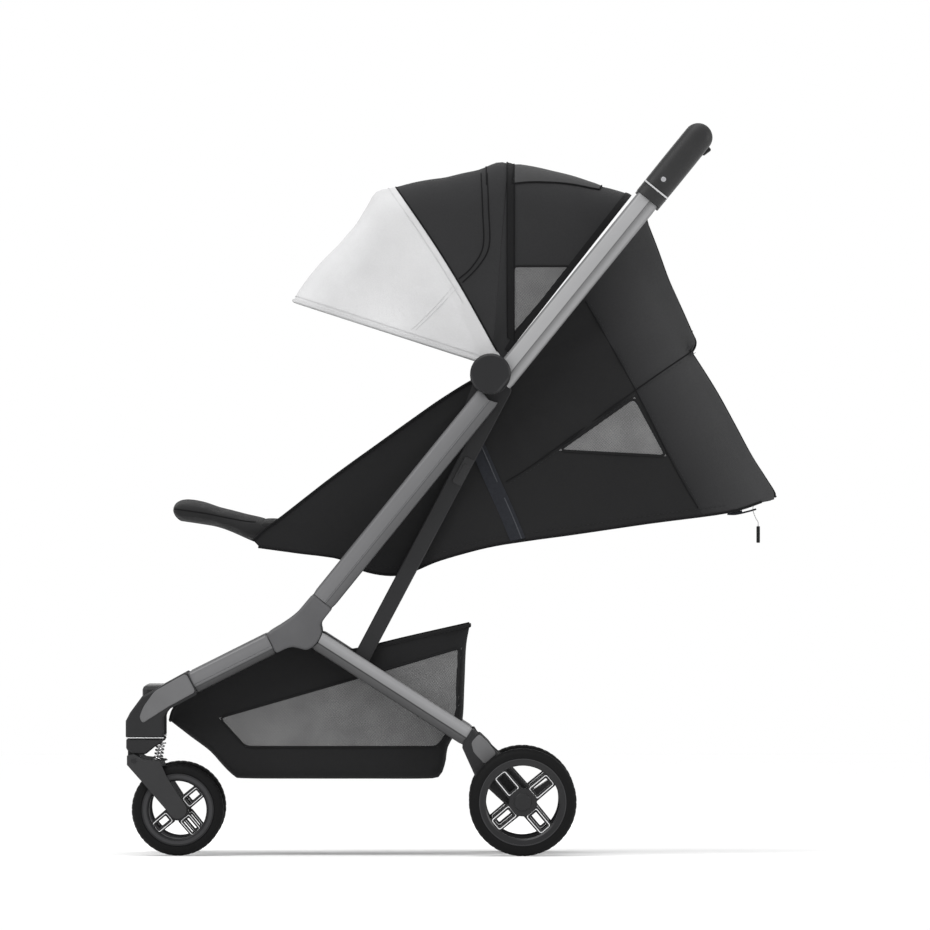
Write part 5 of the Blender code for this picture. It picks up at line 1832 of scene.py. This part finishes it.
def make_basket(kit):
    low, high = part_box("basket")
    half = high.y - 0.0004
    count = 72
    under = even_line(smooth_line(BASKET_UNDER, 5), count)
    top = even_line(smooth_line(BASKET_TOP, 5), count)
    share = [i / (count - 1) for i in range(count)]
    grid = [basket_row(top[i], under[i], half) for i in range(count)]
    array = np.array(grid)
    points = array.reshape(-1, 3)
    made = sheet("basket_cloth", grid, 0.0016, kit["body_cloth"], "chassis", facing(grid, (0, 0, -1)))
    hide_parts("basket")

    def side_y(x, z, side):
        chosen = points[points[:, 1] * side > half * 0.6]
        near = np.argsort((chosen[:, 0] - x) ** 2 + (chosen[:, 2] - z) ** 2)[:4]
        away = np.sqrt((chosen[near, 0] - x) ** 2 + (chosen[near, 2] - z) ** 2) + 1e-5
        return float((chosen[near, 1] / away).sum() / (1 / away).sum())

    extras = []
    rims = []
    for column in (0, len(grid[0]) - 1):
        rims.append(sweep([Vector(row[column]) for row in grid], 0.0024, 8))
    ends = [sweep([Vector(p) for p in grid[-1]], 0.0022, 8), sweep([Vector(p) for p in grid[0]], 0.0018, 8)]
    rim = joined("basket_rim", rims + ends, kit["binding"], "chassis")
    extras.append(rim)
    for name, side in SIDES.items():
        corners = [Vector(p) for p in BASKET_WINDOW]
        bottom = smooth_line([corners[0], corners[5]], 8) + smooth_line([corners[5], corners[4]], 12)[1:]
        grid_window = coons(
            [corners[5], Vector((-0.16, 0.1525)), corners[4]],
            [corners[0], corners[1], corners[2]],
            [corners[5], corners[0]],
            [corners[4], corners[3], corners[2]],
            44, 16,
        )
        rows = [[(p.x, side_y(p.x, p.y, side) + side * 0.0010, p.y) for p in row] for row in grid_window]
        window = sheet("basket_net_" + name, rows, 0.0006, kit["net"], "chassis", facing(rows, (0, side, 0)))
        outline = even_closed(rounded(BASKET_WINDOW, 0.008, 4), 140)
        ring = [Vector((x, side_y(x, z, side) + side * 0.0011, z)) for x, z in outline]
        edge = joined("basket_net_edge_" + name, [sweep(ring, 0.0015, 6, 0.6, closed=True)], kit["binding"], "chassis")
        extras += [window, edge]
    sheet_size(made, grid, held="hung", rests_on=["front_crossbar", "rear_leg_shape_left", "rear_leg_shape_right"], with_pieces=extras)
    return made


# ---------------------------------------------------------------- small parts


def make_small_parts(kit):
    angle = math.atan2(0.3912, 0.2069)
    for name, side in SIDES.items():
        centre = (0.0169, 0.5420)
        outline = rounded([along(centre, angle, a, b) for a, b in ((-0.021, 0.0075), (0.021, 0.0075), (0.021, -0.0075), (-0.021, -0.0075))], 0.004, 4)
        face = sorted((side * 0.1626, side * 0.1652))
        dimple = rounded([along(centre, angle, a, b) for a, b in ((-0.011, 0.0042), (0.011, 0.0042), (0.011, -0.0042), (-0.011, -0.0042))], 0.0035, 4)
        tab = joined("strut_tab_" + name, [slab(outline, *face, 0.0008), slab(dimple, *sorted((side * 0.1640, side * 0.1657)), 0.0005)], kit["plastic_soft"], "struts")

    cord_nodes = [(0.4305, 0.4955), (0.4290, 0.4870), (0.4325, 0.4760), (0.4360, 0.4700), (0.4364, 0.4640)]
    y = 0.120
    route = [Vector((x, y, z)) for x, z in smooth_line(cord_nodes, 5)]
    cord = joined("tag_cord_shape", [sweep(route, 0.0006, 8)], kit["tag"], "chassis")
    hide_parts("tag_cord")
    low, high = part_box("hang_tag")
    outline = rounded([(low.x, low.z), (high.x, low.z), (high.x, high.z), (low.x, high.z)], 0.0012, 3)
    tag = joined("hang_tag_shape", [slab(outline, low.y, high.y, 0.0008)], kit["tag_print"], "chassis")
    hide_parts("hang_tag")
    pull = [Vector((x, -0.1200, z)) for x, z in smooth_line([(0.3900, 0.4800), (0.4020, 0.4800), (0.4180, 0.4835), (0.4310, 0.4872)], 5)]
    strap = joined("adjuster_strap", [flat_strap(pull, 0.020, 0.0024), flat_strap(pull[:9], 0.022, 0.0050)], kit["strap"], "chassis")
    flatten(cord, tag, strap)


def carried_over(kit):
    """Finishes for the CAD nodes that stay in view."""
    finishes = {
        "front_housing_": "plastic", "fold_hub_": "plastic_gloss",
        "caster_cup_": "plastic", "fork_": "plastic_soft", "rear_bracket_": "plastic", "strut_": "plastic",
        "seat_bar": "tube_dark", "front_crossbar": "plastic_soft", "brake_bar": "plastic", "rear_axle": "plastic",
        "canopy_bow_": "tube_dark", "handlebar": "leather", "fold_button": "plastic_gloss",
    }
    softened = ("front_housing_", "caster_cup_", "fork_", "rear_bracket_", "strut_")
    for node, thing in frame["nodes"].items():
        if thing.hide_render:
            continue
        for start, finish in finishes.items():
            if node.startswith(start):
                thing.data.materials.clear()
                thing.data.materials.append(kit[finish])
                break
        if node.startswith(softened):
            bevel = thing.modifiers.new("soft_edge", "BEVEL")
            bevel.width = 0.0009
            bevel.segments = 2
            bevel.limit_method = "ANGLE"
            bevel.angle_limit = math.radians(24)
            bevel.harden_normals = False


make_camera()
KIT = make_materials()
make_small_parts(KIT)
make_frame(KIT)
for which in ("front", "rear"):
    for name, side in SIDES.items():
        make_wheel(which, name, side, f"{which}_wheel_{name}", KIT)
for name, side in SIDES.items():
    make_front_gear(name, side, KIT)
make_body(KIT)
make_canopy(KIT)
make_seat(KIT)
make_basket(KIT)
carried_over(KIT)
make_stage()
